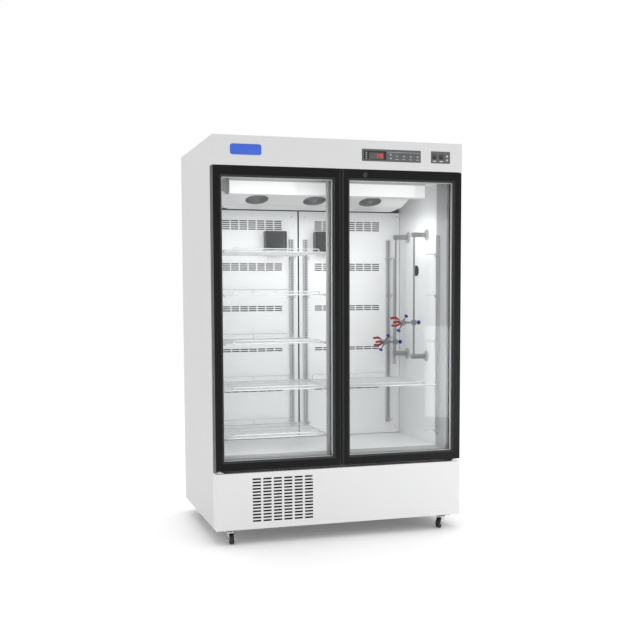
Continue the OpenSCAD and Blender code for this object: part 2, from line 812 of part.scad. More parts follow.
module condenser_fan() {
    color([0.15, 0.15, 0.16]) translate([condenser_fan_x, condenser_fan_y - 42, condenser_fan_z])
        rotate([-90, 0, 0]) translate([0, 0, -18]) impeller(102, 30, 26, 5, 44, 28);
}

// Copper lines: discharge line to the condenser and suction line up to the coil
module refrigerant_pipes() {
    d = 10;
    color(copper) {
        rod_along_x(-430, -300, 330, d, 770);
        translate([340, -300, 330]) sphere(d = d);
        rod_along_y(340, -300, 330, d, 370);
        translate([340, 70, 330]) sphere(d = d);
        translate([340, 70, 262]) cylinder(d = d, h = 68);
        translate([-430, -300, 330]) sphere(d = d);
        rod_along_y(-430, -344, 330, d, 44);
        for (x = pipe_x) {
            translate([x, 150, 264]) cylinder(d = d, h = 66);
            rod_along_y(x, 150, 330, d, 248);
            translate([x, 398, 330]) cylinder(d = d, h = pipe_z - 330);
            rod_along_y(x, 222, pipe_z, d, 176);
            for (bend = [[150, 330], [398, 330], [398, pipe_z]]) translate([x, bend[0], bend[1]]) sphere(d = d);
        }
    }
}

module power_inlet() {
    proud = 2;
    color(frame_black) difference() {
        union() {
            span([500, back_y - 26, 136], [540, back_y + eps, 164]);
            span([492, back_y, 132], [548, back_y + proud, 168]);
        }
        span([508, back_y - 16, 141], [532, back_y + proud + 1, 159]);
    }
}

// ---------- casters ----------

// Runs its children at a caster's swivel axis, with the wheel trailing along -Y
module at_caster(x_side, y_side, turn) {
    translate([x_side * caster_x, y_side > 0 ? caster_rear_y : caster_front_y, 0]) rotate(turn) children();
}

module caster_fork() {
    axle_z = wheel_d / 2;
    color([0.62, 0.63, 0.65]) {
        difference() {
            translate([0, 0, fork_top - 5]) cylinder(d = 48, h = 5);
            translate([0, 0, fork_top - 9]) cylinder(d = 10 + 2 * fit, h = 12);
        }
        for (side = [-1, 1]) translate([side > 0 ? fork_gap : -fork_gap - fork_t, 0, 0])
            rotate([90, 0, 90]) linear_extrude(fork_t)
                polygon([[-18, fork_top - 4], [18, fork_top - 4], [-trail + 9, axle_z - 8], [-trail - 9, axle_z - 8]]);
        rod_along_x(-fork_gap - fork_t - 3, -trail, axle_z, 8, 2 * (fork_gap + fork_t + 3));
    }
}

module caster_wheel() {
    color(frame_black) translate([0, -trail, wheel_d / 2]) rotate([0, 90, 0])
        difference() {
            rotate_extrude() polygon([[0, -fork_gap + 0.6], [8, -fork_gap + 0.6], [9, -wheel_w / 2 + 2],
                [wheel_d / 2 - 5, -wheel_w / 2 + 2], [wheel_d / 2 - 4, -wheel_w / 2],
                [wheel_d / 2 - 1.5, -wheel_w / 2], [wheel_d / 2, -wheel_w / 2 + 3],
                [wheel_d / 2, wheel_w / 2 - 3], [wheel_d / 2 - 1.5, wheel_w / 2],
                [wheel_d / 2 - 4, wheel_w / 2], [wheel_d / 2 - 5, wheel_w / 2 - 2],
                [9, wheel_w / 2 - 2], [8, fork_gap - 0.6], [0, fork_gap - 0.6]]);
            translate([0, 0, -20]) cylinder(d = 8 + 2 * fit, h = 40);
        }
}

cabinet_panels();
rear_panel();
base_frame();
foam_walls();
inner_liner();
door_collar();
header_cover();
lower_panel();
control_panel();
display_window();
control_board();
fan_unit_cover();
fan_housings();
lamp_diffuser();
evaporator();
duct_panels();
shelf_standards();
outlet_boxes();
lattice_rods();
hinge_brackets();
compressor();
condenser();
refrigerant_pipes();
power_inlet();
mirror([1, 0, 0]) door_frame();  // left_door_frame
mirror([1, 0, 0]) door_glass();  // left_door_glass
mirror([1, 0, 0]) door_gasket();  // left_door_gasket
right_door_frame();
door_glass();  // right_door_glass
door_gasket();  // right_door_gasket
door_lock();
shelf_left(0);  // shelf_left_1
shelf_left(1);  // shelf_left_2
shelf_left(2);  // shelf_left_3
shelf_left(3);  // shelf_left_4
shelf_left(4);  // shelf_left_5
shelf(fit_x + shelf_gap, shelf_levels[3]);  // shelf_right
rocker(0);  // rocker_power
rocker(1);  // rocker_light
key_cap(0);  // key_set
key_cap(1);  // key_down
key_cap(2);  // key_up
key_cap(3);  // key_alarm
at_caster(-1, -1, 0) caster_fork();  // caster_fork_front_left
at_caster(1, -1, front_right_turn) caster_fork();  // caster_fork_front_right
at_caster(-1, 1, 0) caster_fork();  // caster_fork_rear_left
at_caster(1, 1, 0) caster_fork();  // caster_fork_rear_right
at_caster(-1, -1, 0) caster_wheel();  // caster_wheel_front_left
at_caster(1, -1, front_right_turn) caster_wheel();  // caster_wheel_front_right
at_caster(-1, 1, 0) caster_wheel();  // caster_wheel_rear_left
at_caster(1, 1, 0) caster_wheel();  // caster_wheel_rear_right
evaporator_fan(-1);  // evaporator_fan_left
evaporator_fan(0);  // evaporator_fan_middle
evaporator_fan(1);  // evaporator_fan_right
condenser_fan();
port_plug();
place_clamp(0) clamp_arm();  // upper_clamp
place_clamp(0) clamp_jaw();  // upper_clamp_jaw
place_clamp(1) clamp_arm();  // lower_clamp
place_clamp(1) clamp_jaw();  // lower_clamp_jaw
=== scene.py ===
"""Laboratory incubator: materials, detailed pieces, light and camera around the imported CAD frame."""

import math

import bmesh
import bpy
from mathutils import Matrix, Vector


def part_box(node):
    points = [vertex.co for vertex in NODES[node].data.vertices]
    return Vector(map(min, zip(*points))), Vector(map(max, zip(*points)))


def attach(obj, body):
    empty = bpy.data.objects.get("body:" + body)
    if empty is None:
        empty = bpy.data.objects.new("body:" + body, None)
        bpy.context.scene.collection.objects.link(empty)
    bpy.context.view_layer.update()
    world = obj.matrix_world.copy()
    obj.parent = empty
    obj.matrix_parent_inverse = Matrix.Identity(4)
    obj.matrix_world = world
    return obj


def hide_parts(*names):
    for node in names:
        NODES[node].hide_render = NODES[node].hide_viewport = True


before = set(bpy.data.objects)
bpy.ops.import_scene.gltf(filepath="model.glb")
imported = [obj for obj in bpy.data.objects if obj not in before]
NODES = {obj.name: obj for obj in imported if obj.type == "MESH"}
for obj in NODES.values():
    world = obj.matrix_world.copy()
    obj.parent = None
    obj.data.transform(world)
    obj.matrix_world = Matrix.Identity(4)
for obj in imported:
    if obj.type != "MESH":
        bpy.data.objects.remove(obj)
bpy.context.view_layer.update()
MM = 0.001
FIT_X = -20.0  # sideways place of the chamber fittings' centre line
WALL_X = 575  # inner faces of the chamber's side walls, on both sides of the middle
WALL_Y = 261  # front face of the duct panels at the back of the chamber
POST_Y = -318  # rear face of the post between the doors
SIDE_Y = -270  # place of the side standards from front to rear
REAR_Y = 420  # outer face of the rear panel
HEADER_Y = -420  # front face of the header and its control panel
ROD_X = 502  # sideways place of the lattice's two uprights
ROD_Y = (-118, 140)  # their places from front to rear
CASTER_X = 550  # the casters' swivels, on both sides of the middle
CASTER_Y = (-365, 362)  # and from front to rear


# ---------- materials ----------


def material(
    name,
    color,
    rough=0.4,
    metal=0.0,
    spec=0.5,
    tint=0.05,
    scale=6.0,
    stretch=(1, 1, 1),
    grain=900.0,
    bump=0.0,
    depth=0.0002,
    rough_var=0.05,
    coat=0.0,
    dirt=None,
):
    """A Principled material. Noise in the object's own space varies its colour, roughness and normal."""
    m = bpy.data.materials.new(name)
    m.use_nodes = True
    nt = m.node_tree
    bsdf = nt.nodes["Principled BSDF"]
    bsdf.inputs["Metallic"].default_value = metal
    bsdf.inputs["Specular IOR Level"].default_value = spec
    bsdf.inputs["Coat Weight"].default_value = coat
    coords = nt.nodes.new("ShaderNodeTexCoord")
    mapping = nt.nodes.new("ShaderNodeMapping")
    mapping.inputs["Scale"].default_value = stretch
    nt.links.new(coords.outputs["Object"], mapping.inputs["Vector"])

    def noise(s, detail):
        n = nt.nodes.new("ShaderNodeTexNoise")
        n.inputs["Scale"].default_value = s
        n.inputs["Detail"].default_value = detail
        nt.links.new(mapping.outputs["Vector"], n.inputs["Vector"])
        return n.outputs["Fac"]

    ramp = nt.nodes.new("ShaderNodeValToRGB")
    low = [max(0.0, c * (1 - tint)) for c in color]
    high = [min(1.0, c * (1 + tint)) for c in color]
    ramp.color_ramp.elements[0].position = 0.3
    ramp.color_ramp.elements[1].position = 0.7
    ramp.color_ramp.elements[0].color = (*(dirt or low), 1)
    ramp.color_ramp.elements[1].color = (*high, 1)
    nt.links.new(noise(scale, 4.0), ramp.inputs["Fac"])
    nt.links.new(ramp.outputs["Color"], bsdf.inputs["Base Color"])
    rr = nt.nodes.new("ShaderNodeMapRange")
    rr.inputs["To Min"].default_value = max(0.02, rough - rough_var)
    rr.inputs["To Max"].default_value = min(1.0, rough + rough_var)
    nt.links.new(noise(scale * 5, 3.0), rr.inputs["Value"])
    nt.links.new(rr.outputs["Result"], bsdf.inputs["Roughness"])
    if bump:
        b = nt.nodes.new("ShaderNodeBump")
        b.inputs["Strength"].default_value = bump
        b.inputs["Distance"].default_value = depth
        nt.links.new(noise(grain, 2.0), b.inputs["Height"])
        nt.links.new(b.outputs["Normal"], bsdf.inputs["Normal"])
    return m


def glass(name):
    """Clear float glass: it lets nearly all light through and mirrors a little, more at grazing angles."""
    m = bpy.data.materials.new(name)
    m.use_nodes = True
    nt = m.node_tree
    nt.nodes.remove(nt.nodes["Principled BSDF"])
    clear = nt.nodes.new("ShaderNodeBsdfTransparent")
    clear.inputs["Color"].default_value = (0.985, 0.988, 0.986, 1)
    gloss = nt.nodes.new("ShaderNodeBsdfGlossy")
    gloss.inputs["Roughness"].default_value = 0.02
    gloss.inputs["Color"].default_value = (0.55, 0.57, 0.57, 1)
    facing = nt.nodes.new("ShaderNodeLayerWeight")
    facing.inputs["Blend"].default_value = 0.5
    rise = nt.nodes.new("ShaderNodeMath")
    rise.operation = "POWER"
    rise.inputs[1].default_value = 5.0
    nt.links.new(facing.outputs["Facing"], rise.inputs[0])
    share = nt.nodes.new("ShaderNodeMath")
    share.operation = "MULTIPLY_ADD"
    share.inputs[1].default_value = 0.35
    share.inputs[2].default_value = 0.0098
    nt.links.new(rise.outputs["Value"], share.inputs[0])
    mix = nt.nodes.new("ShaderNodeMixShader")
    nt.links.new(share.outputs["Value"], mix.inputs["Fac"])
    nt.links.new(clear.outputs["BSDF"], mix.inputs[1])
    nt.links.new(gloss.outputs["BSDF"], mix.inputs[2])
    nt.links.new(mix.outputs["Shader"], nt.nodes["Material Output"].inputs["Surface"])
    return m


def lit(m, color, strength):
    """The same material, glowing."""
    bsdf = m.node_tree.nodes["Principled BSDF"]
    bsdf.inputs["Emission Color"].default_value = (*color, 1)
    bsdf.inputs["Emission Strength"].default_value = strength
    return m


def lamp_material():
    """Opal lamp cover: brightest over each tube, dimmer towards the tubes' right ends."""
    m = material("lamp_opal", (0.62, 0.62, 0.62), rough=0.5, tint=0.01)
    nt = m.node_tree
    bsdf = nt.nodes["Principled BSDF"]
    coords = nt.nodes.new("ShaderNodeTexCoord")
    split = nt.nodes.new("ShaderNodeSeparateXYZ")
    nt.links.new(coords.outputs["Object"], split.inputs["Vector"])
    ramp = nt.nodes.new("ShaderNodeValToRGB")
    span = nt.nodes.new("ShaderNodeMapRange")
    span.inputs["From Min"].default_value = -0.53
    span.inputs["From Max"].default_value = 0.49
    nt.links.new(split.outputs["X"], span.inputs["Value"])
    nt.links.new(span.outputs["Result"], ramp.inputs["Fac"])
    stops = ramp.color_ramp.elements
    stops[0].position, stops[0].color = 0.0, (1, 1, 1, 1)
    stops[1].position, stops[1].color = 1.0, (0.70, 0.70, 0.71, 1)
    for at, v in ((0.31, 1.0), (0.335, 0.72), (0.49, 0.72), (0.51, 1.0), (0.925, 1.0), (0.945, 0.72)):
        stop = stops.new(at)
        stop.color = (v, v, v * 1.01 if v < 0.9 else 1, 1)
    nt.links.new(ramp.outputs["Color"], bsdf.inputs["Emission Color"])
    bsdf.inputs["Emission Strength"].default_value = 0.53
    return m


MAT = {
    "white": material(
        "header_powder_coat", (0.605, 0.606, 0.608), rough=0.42, tint=0.012, scale=2.2, grain=1400, bump=0.05,
    ),
    # painted shade: the sides take a slightly darker, rougher copy of the same white paint
    "side": material(
        "side_powder_coat_painted_shade", (0.600, 0.601, 0.603), rough=0.46, tint=0.012, scale=2.2, grain=1400, bump=0.05,
    ),
    # painted light: the lower panel takes a lighter copy of the same white paint
    "lower": material(
        "lower_powder_coat_painted_light", (0.680, 0.681, 0.683), rough=0.40, tint=0.012, scale=2.2, grain=1400, bump=0.05,
    ),
    "cover": material(
        "cover_steel", (0.62, 0.622, 0.626), rough=0.40, tint=0.015, scale=3, grain=1300, bump=0.04,
    ),
    "rear": material(
        "rear_powder_coat", (0.64, 0.642, 0.646), rough=0.5, tint=0.02, scale=3, grain=1400, bump=0.08,
    ),
    "chassis": material(
        "chassis_paint", (0.06, 0.062, 0.065), rough=0.6, tint=0.2, scale=9, grain=700, bump=0.1,
    ),
    "foam": material("pu_foam", (0.80, 0.72, 0.50), rough=0.9, tint=0.12, scale=30, grain=400, bump=0.4),
    "liner": material(
        "liner_steel", (0.80, 0.805, 0.81), rough=0.34, tint=0.015, scale=3, grain=1300, bump=0.04,
    ),
    "collar": material(
        "collar_plastic", (0.40, 0.405, 0.41), rough=0.42, tint=0.03, scale=4, grain=1100, bump=0.06,
    ),
    "panel": material(
        "control_grey", (0.084, 0.086, 0.090), rough=0.38, tint=0.04, scale=14, grain=2200, bump=0.1,
    ),
    "gloss_black": material(
        "display_glass", (0.006, 0.006, 0.008), rough=0.08, tint=0.1, scale=12, rough_var=0.03,
    ),
    "board": material(
        "circuit_board", (0.02, 0.16, 0.07), rough=0.5, tint=0.25, scale=120, grain=900, bump=0.2,
    ),
    "fan": material("fan_plastic", (0.11, 0.112, 0.115), rough=0.5, tint=0.1, scale=30, grain=1600, bump=0.1),
    "guard": material(
        "guard_wire", (0.22, 0.225, 0.23), rough=0.45, tint=0.06, scale=60, grain=1800, bump=0.05,
    ),
    "lamp": lamp_material(),
    "fins": material(
        "coil_fins", (0.62, 0.63, 0.65), rough=0.38, metal=0.9, tint=0.08, scale=60, stretch=(1, 1, 6),
    ),
    "standard": material(
        "zinc_steel", (0.50, 0.51, 0.52), rough=0.38, metal=0.55,
        tint=0.06, scale=20, stretch=(1, 1, 0.15), grain=700, bump=0.05,
    ),
    "steel": material(
        "brushed_stainless", (0.34, 0.345, 0.35), rough=0.34, metal=0.75,
        tint=0.10, scale=14, stretch=(6, 6, 0.4), grain=500, bump=0.08,
    ),
    "cast": material(
        "cast_alloy", (0.26, 0.265, 0.27), rough=0.42, metal=0.6, tint=0.08, scale=40, grain=900, bump=0.12,
    ),
    "outlet": material(
        "outlet_plastic", (0.038, 0.039, 0.041), rough=0.36, tint=0.06, scale=20, grain=1500, bump=0.12,
    ),
    # grey plastic of the boxes' small parts, also used for painted highlight strips
    "outlet_grey_and_highlight": material(
        "outlet_rim_and_painted_highlight", (0.11, 0.112, 0.115), rough=0.4, tint=0.05, scale=20, grain=1500, bump=0.1,
    ),
    "zinc": material(
        "bright_zinc", (0.62, 0.63, 0.64), rough=0.28, metal=0.95, tint=0.12, scale=35, grain=600, bump=0.06,
    ),
    "comp": material(
        "compressor_enamel", (0.010, 0.010, 0.011), rough=0.25,
        tint=0.2, scale=12, grain=900, bump=0.08, coat=0.4,
    ),
    "condenser": material("condenser_dusty", (0.10, 0.10, 0.105), rough=0.6, metal=0.4, tint=0.25, scale=25),
    "copper": material(
        "drawn_copper", (0.62, 0.27, 0.14), rough=0.3, metal=1.0, tint=0.14, scale=18, grain=500, bump=0.05,
    ),
    "inlet": material(
        "inlet_plastic", (0.012, 0.012, 0.013), rough=0.4, tint=0.1, scale=30, grain=1800, bump=0.12,
    ),
    "door": material(
        "door_black", (0.0075, 0.0075, 0.0080), rough=0.34, spec=0.11,
        tint=0.10, scale=5, grain=1800, bump=0.05, rough_var=0.08,
    ),
    "glass": glass("float_glass"),
    "spacer": material("spacer_bar", (0.70, 0.71, 0.72), rough=0.35, metal=0.5, tint=0.05, scale=80),
    "gasket": material(
        "gasket_rubber", (0.30, 0.302, 0.305), rough=0.65, tint=0.12, scale=40, grain=1200, bump=0.2,
    ),
    "chrome": material("axle_chrome", (0.66, 0.66, 0.68), rough=0.16, metal=1.0, tint=0.05, scale=120),
    "lock": material("lock_dark", (0.045, 0.045, 0.047), rough=0.24, metal=0.6, tint=0.1, scale=120),
    "wire": material(
        "polished_wire", (0.74, 0.75, 0.76), rough=0.24, metal=0.45,
        tint=0.06, scale=50, grain=900, bump=0.04,
    ),
    "switch": material(
        "rocker_black", (0.008, 0.008, 0.009), rough=0.28, tint=0.1, scale=60, grain=2400, bump=0.08,
    ),
    "key": material(
        "key_grey", (0.125, 0.128, 0.134), rough=0.45, tint=0.04, scale=60, grain=2400, bump=0.12,
    ),
    "mark": material("printed_mark", (0.50, 0.51, 0.52), rough=0.5, tint=0.03, scale=90),
    "lcd": material("lcd_grey", (0.075, 0.077, 0.078), rough=0.22, tint=0.05, scale=70),
    "digit": lit(material("digit_red", (0.60, 0.02, 0.02), rough=0.4, tint=0.03), (0.85, 0.02, 0.02), 0.5),
    "tyre": material(
        "caster_tyre", (0.010, 0.010, 0.011), rough=0.6, tint=0.25, scale=70, grain=900, bump=0.2,
    ),
    "hub": material("caster_hub", (0.10, 0.10, 0.105), rough=0.45, tint=0.1, scale=40, grain=1200, bump=0.1),
    "plug": material(
        "plug_rubber", (0.010, 0.010, 0.010), rough=0.55, tint=0.2, scale=60, grain=1300, bump=0.2,
    ),
    "red": material(
        "vinyl_red", (0.30, 0.008, 0.012), rough=0.42, spec=0.2, tint=0.10, scale=60, grain=1100, bump=0.12,
    ),
    "blue": material(
        "knob_blue", (0.002, 0.016, 0.30), rough=0.42, spec=0.15, tint=0.08, scale=60, grain=1500, bump=0.08,
    ),
    # painted shade for the hollows of the shelf standards
    "shade_in_hollow": material("hollow_painted_shade", (0.10, 0.10, 0.105), rough=0.7, tint=0.2, scale=40),
    "flange": material(
        "cast_flange", (0.50, 0.505, 0.51), rough=0.42, metal=0.5, tint=0.08, scale=40, grain=900, bump=0.12,
    ),
    "dark_steel": material("screw_steel", (0.07, 0.07, 0.075), rough=0.35, metal=0.8, tint=0.15, scale=60),
    "badge": material("badge_blue", (0.020, 0.095, 0.56), rough=0.30, tint=0.05, scale=40, coat=0.3),
}


def painted_shade_beyond(m, axis, at, inner):
    """Beyond a place along one axis the material takes a painted shade colour, as on the shaded liner behind
    the duct panels.
    """
    nt = m.node_tree
    bsdf = nt.nodes["Principled BSDF"]
    base = bsdf.inputs["Base Color"].links[0].from_socket
    coords = nt.nodes.new("ShaderNodeTexCoord")
    split = nt.nodes.new("ShaderNodeSeparateXYZ")
    nt.links.new(coords.outputs["Object"], split.inputs["Vector"])
    past = nt.nodes.new("ShaderNodeMath")
    past.operation = "GREATER_THAN"
    past.inputs[1].default_value = at
    nt.links.new(split.outputs[axis], past.inputs[0])
    mix = nt.nodes.new("ShaderNodeMixRGB")
    mix.inputs["Color2"].default_value = (*inner, 1)
    nt.links.new(past.outputs["Value"], mix.inputs["Fac"])
    nt.links.new(base, mix.inputs["Color1"])
    nt.links.new(mix.outputs["Color"], bsdf.inputs["Base Color"])


def painted_bevel_highlight(m, highlight_colour):
    """Faces that look 45 degrees sideways, as bevels and chamfers do, take a lighter colour: a painted
    highlight where they would catch the light.
    """
    nt = m.node_tree
    bsdf = nt.nodes["Principled BSDF"]
    base = bsdf.inputs["Base Color"].links[0].from_socket
    coords = nt.nodes.new("ShaderNodeTexCoord")
    split = nt.nodes.new("ShaderNodeSeparateXYZ")
    nt.links.new(coords.outputs["Normal"], split.inputs["Vector"])
    worth = []
    for other in ("X", "Z"):
        times = nt.nodes.new("ShaderNodeMath")
        times.operation = "MULTIPLY"
        nt.links.new(split.outputs["Y"], times.inputs[0])
        nt.links.new(split.outputs[other], times.inputs[1])
        size = nt.nodes.new("ShaderNodeMath")
        size.operation = "ABSOLUTE"
        nt.links.new(times.outputs["Value"], size.inputs[0])
        worth.append(size)
    most = nt.nodes.new("ShaderNodeMath")
    most.operation = "MAXIMUM"
    nt.links.new(worth[0].outputs["Value"], most.inputs[0])
    nt.links.new(worth[1].outputs["Value"], most.inputs[1])
    band = nt.nodes.new("ShaderNodeMapRange")
    band.inputs["From Min"].default_value = 0.25
    band.inputs["From Max"].default_value = 0.45
    nt.links.new(most.outputs["Value"], band.inputs["Value"])
    mix = nt.nodes.new("ShaderNodeMixRGB")
    mix.inputs["Color2"].default_value = (*highlight_colour, 1)
    nt.links.new(band.outputs["Result"], mix.inputs["Fac"])
    nt.links.new(base, mix.inputs["Color1"])
    nt.links.new(mix.outputs["Color"], bsdf.inputs["Base Color"])


MAT["liner_shell"] = material(
    "liner_shell", (0.80, 0.805, 0.81), rough=0.34, tint=0.015, scale=3, grain=1300, bump=0.04,
)
# painted shade: the liner behind the duct panels is darkened in its colour where it lies in shade
painted_shade_beyond(MAT["liner_shell"], "Y", 0.285, (0.16, 0.16, 0.165))
# painted highlight: the black door frame's bevels and chamfers are lightened in their colour
painted_bevel_highlight(MAT["door"], (0.038, 0.039, 0.040))

# CAD nodes that are shown as they are: material and edge rounding in millimetres
KEEP = {
    "cabinet_panels": ("side", 1.2), "rear_panel": ("rear", 0.5), "base_frame": ("chassis", 0.6),
    "foam_walls": ("foam", 0), "inner_liner": ("liner_shell", 0), "door_collar": ("collar", 1.5),
    "header_cover": ("white", 1.2), "lower_panel": ("lower", 0.9), "control_panel": ("panel", 0.5),
    "display_window": ("gloss_black", 0.3), "control_board": ("board", 0), "fan_unit_cover": ("cover", 0.5),
    "lamp_diffuser": ("lamp", 1.2), "evaporator": ("fins", 0), "duct_panels": ("liner", 0.3),
    "hinge_brackets": ("zinc", 0.6), "compressor": ("comp", 2.0),
    "condenser": ("condenser", 0), "refrigerant_pipes": ("copper", 0), "power_inlet": ("inlet", 0.6),
    "left_door_frame": ("door", 0.7), "right_door_frame": ("door", 0.7),
    "left_door_glass": ("glass", 0), "right_door_glass": ("glass", 0),
    "left_door_gasket": ("gasket", 1.6), "right_door_gasket": ("gasket", 1.6),
    "door_lock": ("lock", 0.4), "rocker_power": ("switch", 0.5), "rocker_light": ("switch", 0.5),
    "key_set": ("key", 0.25), "key_down": ("key", 0.25), "key_up": ("key", 0.25), "key_alarm": ("key", 0.25),
    "port_plug": ("plug", 1.2), "condenser_fan": ("fan", 0.3),
    "evaporator_fan_left": ("fan", 0), "evaporator_fan_middle": ("fan", 0),
    "evaporator_fan_right": ("fan", 0),
}
for node, (key, edge) in KEEP.items():
    o = NODES[node]
    o.data.materials.clear()
    o.data.materials.append(MAT[key])
    if edge:
        weld = o.modifiers.new("weld", "WELD")
        weld.merge_threshold = 1e-5
        bevel = o.modifiers.new("edges", "BEVEL")
        bevel.width = edge * MM
        bevel.segments = 2
        bevel.limit_method = "ANGLE"
        bevel.angle_limit = math.radians(40)
        o.modifiers.new("normals", "WEIGHTED_NORMAL")


# ---------- mesh helpers (millimetres in, metres out) ----------


SHARP_ANGLE = 35  # edges that turn by more than this many degrees are shaded sharp


def to_mesh(name, bm):
    """Turns a bmesh in millimetres into a mesh in metres."""
    bmesh.ops.recalc_face_normals(bm, faces=bm.faces)
    bm.transform(Matrix.Scale(MM, 4))
    me = bpy.data.meshes.new(name)
    bm.to_mesh(me)
    bm.free()
    return me


def piece(name, bm, key, body, replaces=()):
    """Turns a bmesh in millimetres into a finished piece that rides on a body."""
    return from_mesh(name, to_mesh(name, bm), key, body, replaces)


def from_mesh(name, me, key, body, replaces=(), at=None):
    """Makes a piece of a mesh, which several pieces may share."""
    if not me.materials:
        me.materials.append(MAT[key])
        me.polygons.foreach_set("use_smooth", [True] * len(me.polygons))
        me.set_sharp_from_angle(angle=math.radians(SHARP_ANGLE))
    o = bpy.data.objects.new(name, me)
    bpy.context.scene.collection.objects.link(o)
    if at is not None:
        o.location = Vector(at) * MM
    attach(o, body)
    if replaces:
        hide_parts(*replaces)
    return o


def merge(bm, part, matrix=None):
    """Adds one bmesh to another, moved by a matrix."""
    if matrix is not None:
        part.transform(matrix)
    me = bpy.data.meshes.new("part")
    part.to_mesh(me)
    part.free()
    bm.from_mesh(me)
    bpy.data.meshes.remove(me)


def block(bm, lo, hi, r=0.0, seg=2, matrix=None):
    """A box between two corners with all its edges rounded."""
    part = bmesh.new()
    bmesh.ops.create_cube(part, size=1.0)
    lo, hi = Vector(lo), Vector(hi)
    for v in part.verts:
        v.co = Vector(lo[i] + (v.co[i] + 0.5) * (hi[i] - lo[i]) for i in range(3))
    if r:
        bmesh.ops.bevel(part, geom=part.edges[:], offset=r, segments=seg, affect="EDGES", profile=0.5)
    merge(bm, part, matrix)


def tube(bm, points, r, seg=12, closed=False):
    """A round bar swept along points; r is one radius or one for each point."""
    pts = [Vector(p) for p in points]
    n = len(pts)
    radii = r if isinstance(r, (list, tuple)) else [r] * n
    rings, u = [], None
    for i, p in enumerate(pts):
        a = pts[i - 1] if i or closed else p
        b = pts[(i + 1) % n] if i < n - 1 or closed else p
        t = (b - a).normalized()
        if u is None:
            u = t.cross(Vector((0, 0, 1)) if abs(t.z) < 0.9 else Vector((1, 0, 0))).normalized()
        u = (u - t * u.dot(t)).normalized()
        v = t.cross(u)
        ring_verts = []
        for k in range(seg):
            turn = 2 * math.pi * k / seg
            ring_verts.append(bm.verts.new(p + (u * math.cos(turn) + v * math.sin(turn)) * radii[i]))
        rings.append(ring_verts)
    for i in range(n if closed else n - 1):
        a, b = rings[i], rings[(i + 1) % n]
        for k in range(seg):
            bm.faces.new((a[k], a[(k + 1) % seg], b[(k + 1) % seg], b[k]))
    if not closed:
        bm.faces.new(rings[0][::-1])
        bm.faces.new(rings[-1])


def rounded(points, radius, steps=5):
    """The same line with its inner corners turned into curves."""
    pts = [Vector(p) for p in points]
    out = [pts[0]]
    for a, b, c in zip(pts, pts[1:], pts[2:]):
        r = min(radius, (a - b).length / 2.01, (c - b).length / 2.01)
        p, q = b + (a - b).normalized() * r, b + (c - b).normalized() * r
        out += [p.lerp(b, t).lerp(b.lerp(q, t), t) for t in (k / steps for k in range(steps + 1))]
    return out + [pts[-1]]


def arc(cx, cy, r, degrees):
    """Points on a circle at the given angles."""
    return [(cx + r * math.cos(math.radians(a)), cy + r * math.sin(math.radians(a))) for a in degrees]


def lathe(bm, profile, matrix=None, seg=32):
    """Turns (radius, height) points about Z. A profile from radius 0 to radius 0 gives a closed solid."""
    part = bmesh.new()
    rings = []
    for r, z in profile:
        if r < 1e-6:
            rings.append([part.verts.new((0, 0, z))])
            continue
        turns = [2 * math.pi * k / seg for k in range(seg)]
        rings.append([part.verts.new((r * math.cos(t), r * math.sin(t), z)) for t in turns])
    for a, b in zip(rings, rings[1:]):
        for k in range(seg):
            j = (k + 1) % seg
            if len(a) == 1 and len(b) > 1:
                part.faces.new((a[0], b[j], b[k]))
            elif len(b) == 1 and len(a) > 1:
                part.faces.new((a[k], a[j], b[0]))
            elif len(a) > 1:
                part.faces.new((a[k], a[j], b[j], b[k]))
    merge(bm, part, matrix)


def ring(bm, profile, matrix=None, seg=32):
    """As lathe, with the profile closed on itself: a ring with a hole."""
    lathe(bm, list(profile) + [profile[0]], matrix, seg)
    bmesh.ops.remove_doubles(bm, verts=bm.verts, dist=1e-5)


def prism(bm, outline, depth, matrix=None, r=0.0):
    """An outline in X-Y drawn out along Z, with rounded edges."""
    part = bmesh.new()
    face = part.faces.new([part.verts.new((x, y, 0)) for x, y in outline])
    side = bmesh.ops.extrude_face_region(part, geom=[face])
    far = [v for v in side["geom"] if isinstance(v, bmesh.types.BMVert)]
    bmesh.ops.translate(part, verts=far, vec=(0, 0, depth))
    if r:
        sharp = [e for e in part.edges if len(e.link_faces) == 2 and e.calc_face_angle(0) > 0.6]
        bmesh.ops.bevel(part, geom=sharp, offset=r, segments=2, affect="EDGES", profile=0.5)
    merge(bm, part, matrix)


def to(x, y, z, *turns):
    """Matrix that puts a local frame at a place, turned by (degrees, axis) pairs."""
    m = Matrix.Translation((x, y, z))
    for deg, axis in turns:
        m = m @ Matrix.Rotation(math.radians(deg), 4, axis)
    return m


FRONT = (90, "X")  # local Z then points at the doors' side


# ---------- wire shelves ----------


DECK_WIRES = 42


def shelf_mesh(w, d):
    """A wire shelf of width w and depth d: rim, deck wires, cross bars, and a rail in front and behind."""
    bm = bmesh.new()
    c, r = 9, 3.0  # radius of the rim's outer corners, and of its wire
    rim = []
    for cx, cy, start in ((w - c, c, -90), (w - c, d - c, 0), (c, d - c, 90), (c, c, 180)):
        rim += [(x, y, r) for x, y in arc(cx, cy, c - r, range(start, start + 91, 30))]
    tube(bm, rim, r, 10, closed=True)
    for i in range(1, DECK_WIRES + 1):
        x = w * i / (DECK_WIRES + 1)
        tube(bm, [(x, 1.6, 4.6), (x, d - 1.6, 4.6)], 1.35, 8)
    for k in range(1, 4):
        y = d * k / 4
        tube(bm, [(2, y, 2.5), (w - 2, y, 2.5)], 2.3, 8)
    for y, top in ((2.6, 17.4), (d - 3.4, 30.4)):
        line = [(52, y, 4), (52, y, top), (w - 52, y, top), (w - 52, y, 4)]
        tube(bm, rounded(line, 13), 2.5, 10)
        tube(bm, [(w / 2, y, 4), (w / 2, y, top)], 2.0, 8)
    return to_mesh("wire_shelf", bm)


